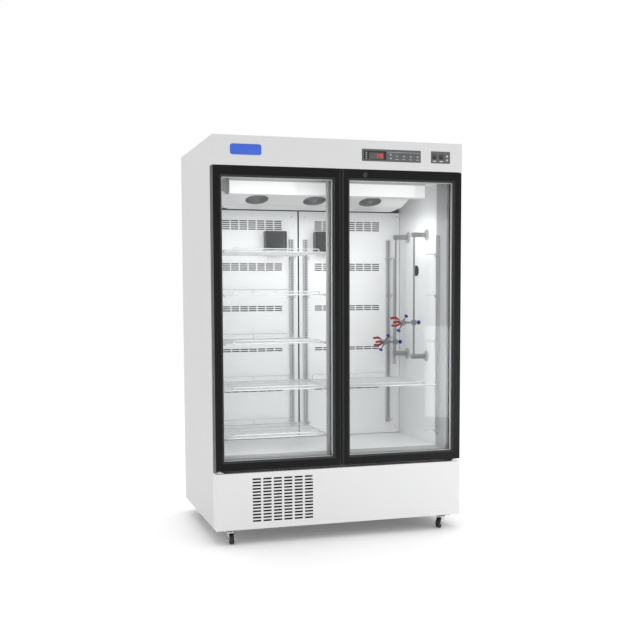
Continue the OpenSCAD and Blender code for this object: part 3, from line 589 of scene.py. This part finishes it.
shelf_nodes = ["shelf_left_%d" % k for k in range(1, 6)] + ["shelf_right"]
lo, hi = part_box(shelf_nodes[0])
mesh = shelf_mesh((hi.x - lo.x) / MM, (hi.y - lo.y) / MM)
for node in shelf_nodes:
    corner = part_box(node)[0]
    from_mesh(node + "_wires", mesh, "wire", node, (node,), at=[v / MM for v in corner])


# ---------- clamps ----------


def knob(bm, matrix, radius, height, lobes=5):
    """A lobed hand knob, its base at the origin and its axis along Z."""
    part = bmesh.new()
    n = 40
    # shares of the height and of the radius
    levels = ((0.0, 0.72), (0.12, 0.95), (0.3, 1.0), (0.75, 1.0), (0.93, 0.9), (1.0, 0.68))
    rings = []
    for h, s in levels:
        level = []
        for a in (2 * math.pi * k / n for k in range(n)):
            r = radius * s * (0.90 + 0.10 * math.cos(lobes * a))
            level.append(part.verts.new((r * math.cos(a), r * math.sin(a), h * height)))
        rings.append(level)
    for a, b in zip(rings, rings[1:]):
        for k in range(n):
            part.faces.new((a[k], a[(k + 1) % n], b[(k + 1) % n], b[k]))
    part.faces.new(rings[0][::-1])
    part.faces.new(rings[-1])
    merge(bm, part, matrix)


STEP = 1.5  # distance between the points of a finger's path


def finger_path(start, slope, bend, length=30):
    """Points of a clamp finger in the X-Z plane, towards -X. Past its knee the slope is less by bend."""
    a, b = math.radians(slope), math.radians(slope - bend)
    start = Vector(start)
    knee = start + Vector((-math.cos(a), 0, math.sin(a))) * length
    tip = knee + Vector((-math.cos(b), 0, math.sin(b))) * (length - 0.4)
    line = rounded([start, knee, tip], 9, 8)
    even = []
    for p, q in zip(line, line[1:]):
        steps = max(1, round((q - p).length / STEP))
        even += [p.lerp(q, k / steps) for k in range(steps)]
    return even + [tip]


def root_and_sleeve(root_bm, sleeve_bm, path, matrix):
    """The bare root of a finger, and its vinyl sleeve with grip ridges and a round tip."""
    bare = 8  # steps of the path that the sleeve leaves bare
    part = bmesh.new()
    tube(part, path[: bare + 3], 3.6, 14)
    merge(root_bm, part, matrix)
    body = path[bare:]
    m = len(body)
    radii = []
    for i in range(m):
        r = 5.9 + 0.45 * math.sin(i * 1.5)
        start, left = i * STEP, (m - 1 - i) * STEP
        if start < 3:
            r *= 0.78 + 0.22 * start / 3
        if left < 5:
            r *= math.sqrt(max(0.05, 1 - (1 - left / 5) ** 2))
        radii.append(min(r, 6.4))
    part = bmesh.new()
    tube(part, body, radii, 16)
    merge(sleeve_bm, part, matrix)


CLAMP_TURN = 12  # how far a clamp is turned about its upright, in degrees
CLAMP_ROLL = 40  # how far its fingers are rolled about its stem, in degrees
JAW_HALF = 16  # distance of the jaw's two fingers from the clamp's middle plane


def clamp(name, x, y, z):
    """A clamp on a lattice upright: body, screws with knobs, one fixed finger, and a jaw of two fingers."""
    base = to(x, y, z, (CLAMP_TURN, "Z"))
    head = base @ to(0, 0, 0, (CLAMP_ROLL, "X"))
    pivot = Vector((-91, 0, 8))
    jaw = name + "_jaw"
    stem = (90, "Y")  # local Z then points along the stem, to the wall
    bm = bmesh.new()
    ring(bm, [(5.2, -13), (13, -13), (14, -12), (14, 12), (13, 13), (5.2, 13)], base, 36)
    part = bmesh.new()
    tube(part, [(-12, 0, 0), (-62, 0, 0)], 4.4, 20)
    merge(bm, part, base)
    block(bm, (-84, -13, -13.5), (-58, 13, 13.5), 6.5, 4, base)
    block(bm, (-96, -6, 2), (-82, 6, 12), 2, 3, head)
    nut = [(0, 0), (7.4, 0), (8.2, 0.8), (8.2, 9), (7.4, 10), (0, 10)]
    lathe(bm, nut, base @ to(-60, 0, 0, stem), 24)
    collar = [(0, 0), (6.4, 0), (6.9, 0.6), (6.9, 5), (6, 6), (0, 6)]
    lathe(bm, collar, base @ to(-40, 0, 0, stem), 24)
    piece(name + "_body", bm, "cast", name, (name,))
    dark, knobs, sleeve = bmesh.new(), bmesh.new(), bmesh.new()
    lathe(dark, [(0, 9), (2.9, 9), (2.9, 27), (0, 27)], base @ to(0, 0, 0, stem), 16)
    for tilt, height, foot in ((35, 37, -72), (215, 45, -68)):
        m = base @ to(foot, 0, 0, (tilt, "Y"))
        lathe(dark, [(0, 9), (2.5, 9), (2.5, height + 1), (0, height + 1)], m, 14)
        lathe(dark, [(0, 14), (4.6, 14), (5, 14.5), (5, 18.5), (4.6, 19), (0, 19)], m, 6)
        knob(knobs, m @ Matrix.Translation((0, 0, height)), 11, 10)
    knob(knobs, base @ to(25, 0, 0, stem), 12, 12)
    root_and_sleeve(dark, sleeve, finger_path((-79, 0, -4), -35, -42), head)
    piece(name + "_screws", dark, "dark_steel", name)
    piece(name + "_knobs", knobs, "blue", name)
    piece(name + "_finger", sleeve, "red", name)
    roots, sleeves = bmesh.new(), bmesh.new()
    part = bmesh.new()
    tube(part, [(pivot.x, -JAW_HALF, pivot.z), (pivot.x, JAW_HALF, pivot.z)], 3.0, 16)
    merge(roots, part, head)
    for side_y in (-JAW_HALF, JAW_HALF):
        root_and_sleeve(roots, sleeves, finger_path((pivot.x, side_y, pivot.z), 30, 42), head)
    piece(jaw + "_roots", roots, "dark_steel", jaw, (jaw,))
    piece(jaw + "_fingers", sleeves, "red", jaw)


clamp("upper_clamp", ROD_X, ROD_Y[0], 1040)
clamp("lower_clamp", ROD_X, ROD_Y[1], 926)


# ---------- shelf standards and clips ----------

LEVELS = (1395, 1187, 951, 724, 491)  # heights of the shelves' undersides
LOW, HIGH, DEEP = 465, 1487, 12  # ends and depth of a standard
RUNG, PITCH = 7.5, 14  # steel left between two slots, and the slots' spacing


def standard(web, hollow, m):
    """A slotted channel whose back is at y = 0."""
    for x0, x1 in ((-11, -4.4), (4.4, 11)):
        block(web, (x0, -DEEP, LOW), (x1, -DEEP + 1.5, HIGH), 0, 1, m)
    for x0, x1 in ((-11, -9.5), (9.5, 11)):
        block(web, (x0, -DEEP + 0.6, LOW), (x1, 0, HIGH), 0, 1, m)
    z = LOW
    while z + RUNG < HIGH:
        block(web, (-4.6, -DEEP, z), (4.6, -DEEP + 1.5, z + RUNG), 0, 1, m)
        z += PITCH
    block(web, (-4.6, -DEEP, z), (4.6, -DEEP + 1.5, HIGH), 0, 1, m)
    # painted shade: a dark sheet inside the channel stands for the shade in its hollow
    block(hollow, (-9.4, -DEEP + 2.6, LOW + 1), (9.4, -DEEP + 3.2, HIGH - 1), 0, 1, m)


def arm(bm, half, near, far, radius):
    """A wire arm under a shelf, bent to a U: half its width, where its ends are and where it turns."""
    line = [(-half, near, -2.7), (-half, far, -2.7), (half, far, -2.7), (half, near, -2.7)]
    tube(bm, rounded(line, radius, 4), 2.2, 10)


def clip(bm, plates, m, reach):
    """A pressed clip: plate, two rolled ears beside the channel, and a wire arm under the shelf."""
    block(plates, (-7, -DEEP - 5, -14), (7, -DEEP, -0.4), 1.6, 2, m)
    part = bmesh.new()
    for s in (-1, 1):
        angles = [math.radians(20 * k) for k in range(18)]
        ear = [(s * (12.5 + 5.5 * math.cos(a)), -DEEP - 3, -9 + 6 * math.sin(a)) for a in angles]
        tube(part, ear, 1.7, 8, closed=True)
    arm(part, 5, -DEEP - 3, -DEEP - reach + 2.4, 4.5)
    merge(bm, part, m)


web, hollow, clips, plates = bmesh.new(), bmesh.new(), bmesh.new(), bmesh.new()
places = [(to(FIT_X + x, WALL_Y, 0), 66) for x in (-522, -40, 39, 522)]
places += [(to(-WALL_X, SIDE_Y, 0, (90, "Z")), 22), (to(WALL_X, SIDE_Y, 0, (-90, "Z")), 58)]
post = to(0, POST_Y, 0, (180, "Z"))
for m, reach in places + [(post, 20)]:
    standard(web, hollow, m)
    for z in LEVELS:
        clip(clips, plates, m @ to(0, 0, z), reach)
for z in LEVELS:
    part = bmesh.new()
    arm(part, 47.5, -DEEP - 23, -DEEP - 8, 6)
    merge(clips, part, post @ to(0, 0, z))
piece("standard_channels", web, "standard", "cabinet", ("shelf_standards",))
piece("standard_channel_shadows", hollow, "shade_in_hollow", "cabinet")
piece("shelf_clips", clips, "wire", "cabinet")
piece("shelf_clip_plates", plates, "steel", "cabinet")


# ---------- lattice on the right wall ----------

ROD_LOW, ROD_HIGH = 861, 1499  # heights of an upright's ends and of its arms
bm_rod, bm_arm, bm_flange, bm_screw = bmesh.new(), bmesh.new(), bmesh.new(), bmesh.new()
for y in ROD_Y:
    tube(bm_rod, [(ROD_X, y, ROD_LOW), (ROD_X, y, ROD_HIGH)], 5, 20)
    for z in (ROD_LOW, ROD_HIGH):
        holder = to(WALL_X, y, z, (-90, "Y"))
        lathe(bm_arm, [(0, 6), (12.5, 6), (12.5, 85), (11.6, 86.8), (0, 86.8)], holder, 32)
        lathe(bm_flange, [(0, 0), (30, 0), (30, 3.2), (28.6, 5), (20, 6), (16.4, 8), (0, 8)], holder, 40)
        for sx, sy in arc(0, 0, 22.5, (45, 135, 225, 315)):
            screw = [(0, 0), (3.2, 0), (3.2, 0.8), (2.4, 1.8), (0, 2.2)]
            lathe(bm_screw, screw, holder @ to(sx, sy, 4.6), 14)
cover = bmesh.new()
block(cover, (495, 157, 800), (514, 167, 1390), 2.6, 3)
for z in (880, 1378):
    block(cover, (498, 144, z), (506, 159, z + 6), 0.8)
    ring(cover, [(5.1, 0), (7.4, 0), (7.4, 6), (5.1, 6)], to(ROD_X, ROD_Y[1], z), 24)
piece("probe_cover", cover, "standard", "cabinet")
piece("lattice_uprights", bm_rod, "steel", "cabinet", ("lattice_rods",))
piece("lattice_arms", bm_arm, "steel", "cabinet")
piece("lattice_flanges", bm_flange, "flange", "cabinet")
piece("lattice_screws", bm_screw, "zinc", "cabinet")


# ---------- socket boxes on the rear wall ----------

body_bm, lid_bm, dark_bm = bmesh.new(), bmesh.new(), bmesh.new()
OUTLET_W, OUTLET_D, OUTLET_H = 115, 60, 108  # a box's width, depth and height
OUTLET_R = 9  # radius of its front corners
OUTLET_Y, OUTLET_Z = 201, 1421  # its front face and its underside
outline = arc(OUTLET_W - OUTLET_R, OUTLET_R, OUTLET_R, range(-90, 1, 15))
outline += [(OUTLET_W, OUTLET_D), (0, OUTLET_D)]
outline += arc(OUTLET_R, OUTLET_R, OUTLET_R, range(180, 271, 15))
for x0 in (FIT_X - 194, FIT_X + 85):
    prism(body_bm, outline, OUTLET_H, to(x0, OUTLET_Y, OUTLET_Z), 1.4)
    block(lid_bm, (x0 + 12, 200.4, 1440), (x0 + 88, 203.5, 1516), 1.2, 2)
    # painted highlights: a light vertical strip near the right front corner and one along the left side stand
    # for light on the rounded corners; the bar along the top and the sockets below are real
    block(dark_bm, (x0 + 94, 200.6, 1426), (x0 + 97.5, 203, 1524), 0.8, 2)
    block(dark_bm, (x0 - 0.4, 210, 1425), (x0 + 1, 256, 1525), 0.5, 2)
    tube(dark_bm, [(x0 + 14, 202, 1518), (x0 + 86, 202, 1518)], 1.6, 10)
    for k in range(7):
        block(dark_bm, (x0 + 8 + 15 * k, 206, 1421.2), (x0 + 16 + 15 * k, 252, 1424), 0.6, 1)
piece("outlet_housings", body_bm, "outlet", "cabinet", ("outlet_boxes",))
piece("outlet_lids", lid_bm, "outlet", "cabinet")
piece("outlet_details_and_highlights", dark_bm, "outlet_grey_and_highlight", "cabinet")


# ---------- fans in the ceiling unit ----------

FAN_PITCH, FAN_SLOPE = 305, 18  # the fans' spacing, and the slope of their plate in degrees
GUARD_POINTS = 56
around = [2 * math.pi * j / GUARD_POINTS for j in range(GUARD_POINTS)]
for i, side in ((-1, "left"), (0, "middle"), (1, "right")):
    place = to(FIT_X + FAN_PITCH * i, 20, 1650, (-FAN_SLOPE, "X")) @ Matrix.Translation((0, -65, 0))
    bm = bmesh.new()
    ring(bm, [(56.5, 0), (58.6, 0.6), (59, 2), (59, 36), (55, 36), (55, 3), (55.4, 1)], place, 64)
    lathe(bm, [(0, 24), (16, 24), (17, 25), (17, 39), (16, 40), (0, 40)], place, 32)
    part = bmesh.new()
    for a in (20, 140, 260):
        m = Matrix.Rotation(math.radians(a), 4, "Z")
        block(part, (14, -3, 31), (57, 3, 35), 0.8, 2, m)
    tube(part, [(0, 0, 10), (0, 0, 25)], 3.9, 14)
    merge(bm, part, place)
    piece("fan_shroud_" + side, bm, "fan", "cabinet", ("fan_housings",) if i == 0 else ())
    bm = bmesh.new()
    part = bmesh.new()
    for k in range(1, 12):
        rr = 5 + 4.45 * k
        tube(part, [(rr * math.cos(t), rr * math.sin(t), 1.2) for t in around], 0.85, 6, closed=True)
    for a in range(0, 180, 45):
        c, s = math.cos(math.radians(a + 10)), math.sin(math.radians(a + 10))
        tube(part, [(-56 * c, -56 * s, 2.4), (56 * c, 56 * s, 2.4)], 1.0, 6)
    lathe(part, [(0, 0.4), (8, 0.4), (8, 2.6), (0, 2.6)], None, 24)
    merge(bm, part, place)
    piece("fan_guard_" + side, bm, "guard", "cabinet")


# ---------- casters ----------

# halves of the wheel's profiles as (radius, distance from its middle plane)
HALF_TYRE = [(8.5, 8.4), (20, 8.4), (20.6, 9.6), (23, 9.6), (24.6, 8.2), (25, 6)]
HALF_HUB = [(4.05, 10.8), (7.6, 10.8), (8.4, 9.6), (8.4, 6.6), (19.8, 6.4)]
# outline of a fork's leg as (distance ahead of the swivel, height)
FORK_LEG = [
    (-19, 56.5), (19, 56.5), (17, 50), (6, 36), (-16, 19), (-19, 16.6),
    (-25, 14.6), (-31, 16.6), (-34, 22), (-32, 30), (-26, 44),
]


def both_sides(half):
    """A closed profile from its half."""
    return [(r, -h) for r, h in half] + half[::-1]


for name, x, y, turn in (
    ("front_left", -CASTER_X, CASTER_Y[0], 0), ("front_right", CASTER_X, CASTER_Y[0], -45),
    ("rear_left", -CASTER_X, CASTER_Y[1], 0), ("rear_right", CASTER_X, CASTER_Y[1], 0),
):
    base = to(x, y, 0, (turn, "Z"))
    fork, wheel = "caster_fork_" + name, "caster_wheel_" + name
    bm = bmesh.new()
    ring(bm, [(5.06, 55), (20, 55), (23.4, 55.6), (24, 57), (23.6, 59), (22, 60), (5.06, 60)], base, 40)
    block(bm, (-13.6, -17.6, 47), (13.6, -16, 57), 0.7, 2, base)
    for x0 in (11.5, -14):
        prism(bm, FORK_LEG, 2.5, base @ to(x0, 0, 0, (90, "Z"), (90, "X")), 0.5)
    piece(fork + "_shell", bm, "zinc", fork, (fork,))
    axle = base @ to(0, -25, 25, (90, "Y"))
    bm = bmesh.new()
    lathe(bm, [(0, -17), (3.95, -17), (3.95, 17), (0, 17)], axle, 20)
    for s in (-17, 14):
        lathe(bm, [(0, s), (6.6, s), (6.9, s + 0.4), (6.9, s + 2.6), (6.6, s + 3), (0, s + 3)], axle, 6)
    piece(fork + "_axle", bm, "chrome", fork)
    bm = bmesh.new()
    ring(bm, both_sides(HALF_TYRE), axle, 56)
    piece(wheel + "_tyre", bm, "tyre", wheel, (wheel,))
    bm = bmesh.new()
    ring(bm, both_sides(HALF_HUB), axle, 48)
    piece(wheel + "_hub", bm, "hub", wheel)


# ---------- header: badge, display, marks ----------

bm = bmesh.new()
outline = []
w, h, r = 150, 50, 12  # the badge's width, height and corner radius
for cx, cy, start in ((w - r, r, -90), (w - r, h - r, 0), (r, h - r, 90), (r, r, 180)):
    outline += arc(cx, cy, r, range(start, start + 91, 15))
prism(bm, outline, 1.4, to(-545, HEADER_Y + 0.1, 1840, FRONT), 0.5)
piece("blank_badge", bm, "badge", "cabinet")


def flat_mark(bm, x0, z0, x1, z1, proud, r, behind=0.2):
    """A thin plate on the control panel that stands a little proud of it."""
    block(bm, (x0, HEADER_Y - proud, z0), (x1, HEADER_Y + behind, z1), r, 1)


bm = bmesh.new()
flat_mark(bm, 139, 1841.5, 214, 1872.5, 0.3, 0.15, 0.5)
piece("display_screen", bm, "lcd", "cabinet")


def seven_segment(bm, x, z, w, h, t, lit_parts):
    """One digit on the screen: which of its seven bars are lit."""
    mid = z + h / 2
    upper, lower = (mid + t * 0.3, z + h - t * 0.5), (z + t * 0.5, mid - t * 0.3)
    left, middle, right_bar = (x, x + t), (x + t, x + w - t), (x + w - t, x + w)
    bars = {
        "a": (middle, (z + h - t, z + h)), "g": (middle, (mid - t / 2, mid + t / 2)),
        "d": (middle, (z, z + t)), "f": (left, upper), "e": (left, lower),
        "b": (right_bar, upper), "c": (right_bar, lower),
    }
    for k in lit_parts:
        (x0, x1), (z0, z1) = bars[k]
        flat_mark(bm, x0, z0, x1, z1, 0.55, 0.12, -0.2)


bm = bmesh.new()
for x, lit_parts in ((178, "abcdg"), (190, "abc"), (202, "abcdef")):  # a 3, a 7 and a 0
    seven_segment(bm, x, 1847, 9.5, 19, 2.6, lit_parts)
flat_mark(bm, 199.9, 1847, 201.6, 1849.2, 0.55, 0.1, -0.2)
piece("display_digits", bm, "digit", "cabinet")

marks = bmesh.new()
for k in range(4):
    z = 1872.5 - 9.4 * k
    flat_mark(marks, 121.5, z - 1.5, 129.5, z + 1.5, 0.25, 0.15)
for x, z in ((251, 1864.5), (252.5, 1847)):
    dot = [(0, -0.2), (3.6, -0.2), (3.6, 0.3), (3.2, 0.5), (0, 0.5)]
    lathe(marks, dot, to(x, HEADER_Y, z, FRONT), 20)
for x in (284, 320, 356, 392):
    flat_mark(marks, x - 9, 1842.6, x + 9, 1844.4, 0.25, 0.15)
for x in (482, 518):
    flat_mark(marks, x - 9, 1838.5, x + 9, 1843.5, 0.3, 0.2)
flat_mark(marks, 234, 1876, 402, 1877.2, 0.2, 0.1)
piece("panel_marks", marks, "mark", "cabinet")

KEYS = (("key_set", 0, "bar"), ("key_down", 180, "arrow"), ("key_up", 0, "arrow"), ("key_alarm", 0, "ring"))
for node, turn, shape in KEYS:
    lo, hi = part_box(node)
    cx, cz = (lo.x + hi.x) / 2 / MM, (lo.z + hi.z) / 2 / MM
    place = to(cx, lo.y / MM + 0.05, cz, FRONT, (turn, "Z"))
    bm = bmesh.new()
    if shape == "arrow":
        prism(bm, [(-3.6, -2.2), (3.6, -2.2), (0, 3.6)], 0.3, place)
    elif shape == "bar":
        block(bm, (-3.4, -1, 0), (3.4, 1, 0.3), 0.1, 1, place)
    else:
        ring(bm, [(2.4, 0), (3.6, 0), (3.6, 0.3), (2.4, 0.3)], place, 24)
    piece(node + "_mark", bm, "mark", node)

rims, lenses = bmesh.new(), bmesh.new()
for z in (1866.5, 1847.5):
    pilot = to(549, HEADER_Y, z, FRONT)
    ring(rims, [(3.4, -0.5), (5.2, -0.5), (5.2, 0.7), (4.8, 1.2), (3.8, 1.2), (3.4, 0.8)], pilot, 28)
    lathe(lenses, [(0, -0.5), (3.35, -0.5), (3.35, 0.4), (2.2, 1.2), (0, 1.5)], pilot, 24)
piece("pilot_rims", rims, "chrome", "cabinet")
piece("pilot_lenses", lenses, "mark", "cabinet")


# ---------- doors: spacer bars between the panes ----------


def rectangle(x0, z0, x1, z1, inset):
    """The corners of a rectangle, drawn in by inset."""
    x0, z0, x1, z1 = x0 + inset, z0 + inset, x1 - inset, z1 - inset
    return [(x0, z0), (x1, z0), (x1, z1), (x0, z1)]


PANE_LOW, PANE_HIGH = 393.5, 1747  # the spacer bars' outer edges, in height
for door, x0, x1 in (("left_door", -593.5, -34.5), ("right_door", 34.5, 593.5)):
    bm = bmesh.new()
    rings = []
    for y in (-403.9, -391.1):
        frames = [rectangle(x0, PANE_LOW, x1, PANE_HIGH, inset) for inset in (0, 11)]
        rings.append([[bm.verts.new((x, y, z)) for x, z in corners] for corners in frames])
    for k in range(4):
        j = (k + 1) % 4
        (f_out, f_in), (b_out, b_in) = rings
        bm.faces.new((f_out[k], f_out[j], f_in[j], f_in[k]))
        bm.faces.new((b_out[j], b_out[k], b_in[k], b_in[j]))
        bm.faces.new((f_in[k], f_in[j], b_in[j], b_in[k]))
        bm.faces.new((f_out[j], f_out[k], b_out[k], b_out[j]))
    piece(door + "_spacer", bm, "spacer", door)


# ---------- fasteners and rear fittings ----------

REAR = (-90, "X")  # local Z then points to the rear

bm = bmesh.new()
head = [(0, -0.3), (4, -0.3), (4, 0.5), (3, 1.6), (0, 2)]
for columns, heights in (((FIT_X - 38, FIT_X + 38), (1609, 1040, 620)), ((-560, 555), (1620, 1040, 430))):
    for x in columns:
        for z in heights:
            lathe(bm, head, to(x, WALL_Y, z, FRONT), 18)
piece("duct_screws", bm, "zinc", "cabinet")

bm = bmesh.new()
head = [(0, -0.3), (4.4, -0.3), (4.4, 0.4), (3.2, 1.4), (0, 1.7)]
spots = [(x, z) for x in (-612, -306, 0, 306, 612) for z in (90, 1912)]
spots += [(x, z) for z in (400, 780, 1160, 1540) for x in (-612, 612)]
for x, z in spots:
    lathe(bm, head, to(x, REAR_Y, z, REAR), 18)
piece("rear_screws", bm, "zinc", "cabinet")

bm = bmesh.new()
hood = [(0, 3.6), (1.9, 2.2), (1.9, -0.6), (1.3, -0.6), (1.2, 1.8), (0, 2.8)]
for x in range(-440, 441, 80):
    for z in range(300, 134, -15):
        prism(bm, hood, 58, to(x - 29, REAR_Y, z, (90, "Z"), (90, "X")))
piece("rear_louvres", bm, "rear", "cabinet")

bm = bmesh.new()
rivet = [(0, 0), (4, 0), (4, 1.7), (3.4, 1.95), (0, 1.95)]
for x in (-210, 210):
    block(bm, (x - 9, 419, 330), (x + 9, 421.4, 1900), 0.6, 2)
    for z in range(400, 1900, 250):
        lathe(bm, rivet, to(x, REAR_Y, z, REAR), 18)
for z in (620, 1000, 1380):
    for x0, x1 in ((-600, -240), (-180, 180), (240, 600)):
        block(bm, (x0, 419, z - 11), (x1, 421.3, z + 11), 1.1, 2)
piece("rear_seams", bm, "rear", "cabinet")
bm = bmesh.new()
block(bm, (470, 419.5, 182), (560, 420.6, 242), 0.4, 2)
piece("rear_blank_plate", bm, "zinc", "cabinet")

bm = bmesh.new()
for x, z in ((513, 147), (520, 152), (527, 147)):
    block(bm, (x - 1, 406, z - 2.5), (x + 1, 418, z + 2.5), 0.3, 1)
piece("inlet_pins", bm, "zinc", "cabinet")

bm = bmesh.new()
bolt = [(0, 62.5), (5, 62.5), (5.4, 63), (5.4, 66), (0, 66)]
for x in (-CASTER_X, CASTER_X):
    for y in CASTER_Y:
        for i in (-33, 33):
            for j in (-26, 26):
                lathe(bm, bolt, to(x + i, y + j, 0), 6)
piece("caster_bolts", bm, "zinc", "cabinet")


# ---------- stage, light and camera ----------

scene = bpy.context.scene
floor_bm = bmesh.new()
bmesh.ops.create_grid(floor_bm, x_segments=1, y_segments=1, size=20)
floor_me = bpy.data.meshes.new("floor")
floor_bm.to_mesh(floor_me)
floor_bm.free()
floor = bpy.data.objects.new("floor", floor_me)
scene.collection.objects.link(floor)
pale = material("floor_pale", (0.90, 0.90, 0.90), rough=0.5, spec=0.25, tint=0.004, scale=1.0)
floor_me.materials.append(lit(pale, (1, 1, 1), 0.12))

world = bpy.data.worlds.new("studio")
scene.world = world
world.use_nodes = True
background = world.node_tree.nodes["Background"]
background.inputs["Color"].default_value = (1.0, 1.0, 1.0, 1)
background.inputs["Strength"].default_value = 1.0


def area(name, place, target, size, power):
    """A soft rectangular light that the camera doesn't see; only the large ones show in gloss."""
    data = bpy.data.lights.new(name, "AREA")
    data.shape = "RECTANGLE"
    data.size, data.size_y = size
    data.energy = power
    o = bpy.data.objects.new(name, data)
    o.location = place
    o.rotation_euler = (Vector(target) - Vector(place)).to_track_quat("-Z", "Y").to_euler()
    o.visible_camera = False
    o.visible_glossy = size[0] > 1
    scene.collection.objects.link(o)


area("top_box", (0.2, 0.6, 4.2), (0, 0, 1.9), (4.0, 3.0), 55)
area("low_fill", (2.6, -3.4, 0.5), (0.4, -0.4, 0.3), (1.6, 0.8), 26)
area("chamber_top", (-0.02, -0.10, 1.62), (-0.02, -0.10, 0.4), (0.95, 0.30), 3.5)
area("chamber_left", (-0.30, -0.335, 1.05), (-0.30, 0.2, 1.06), (0.46, 1.24), 2.8)
area("chamber_right", (0.40, -0.350, 1.00), (0.46, 0.2, 1.00), (0.36, 1.15), 1.3)
area("chamber_side", (0.43, -0.12, 1.47), (0.575, -0.05, 1.60), (0.20, 0.12), 0.28)

# the camera stands left of the middle and looks slightly down; the shift is the photograph's framing
yaw, pitch, roll = (math.radians(v) for v in (-16.709, 4.343, -0.265))
back = Vector((math.sin(yaw) * math.cos(pitch), -math.cos(yaw) * math.cos(pitch), math.sin(pitch)))
right = Vector((math.cos(yaw), math.sin(yaw), 0))
up = back.cross(right)
right, up = right * math.cos(roll) + up * math.sin(roll), up * math.cos(roll) - right * math.sin(roll)
camera_data = bpy.data.cameras.new("camera")
camera_data.sensor_width = 36
camera_data.lens = 56.115
camera_data.shift_x = 0.0203
camera_data.shift_y = 0.0744
camera = bpy.data.objects.new("camera", camera_data)
turned = Matrix((right, up, back)).transposed().to_4x4()
camera.matrix_world = Matrix.Translation((-1.5521, -4.9985, 1.2035)) @ turned
scene.collection.objects.link(camera)
scene.camera = camera
scene.view_settings.view_transform = "Standard"
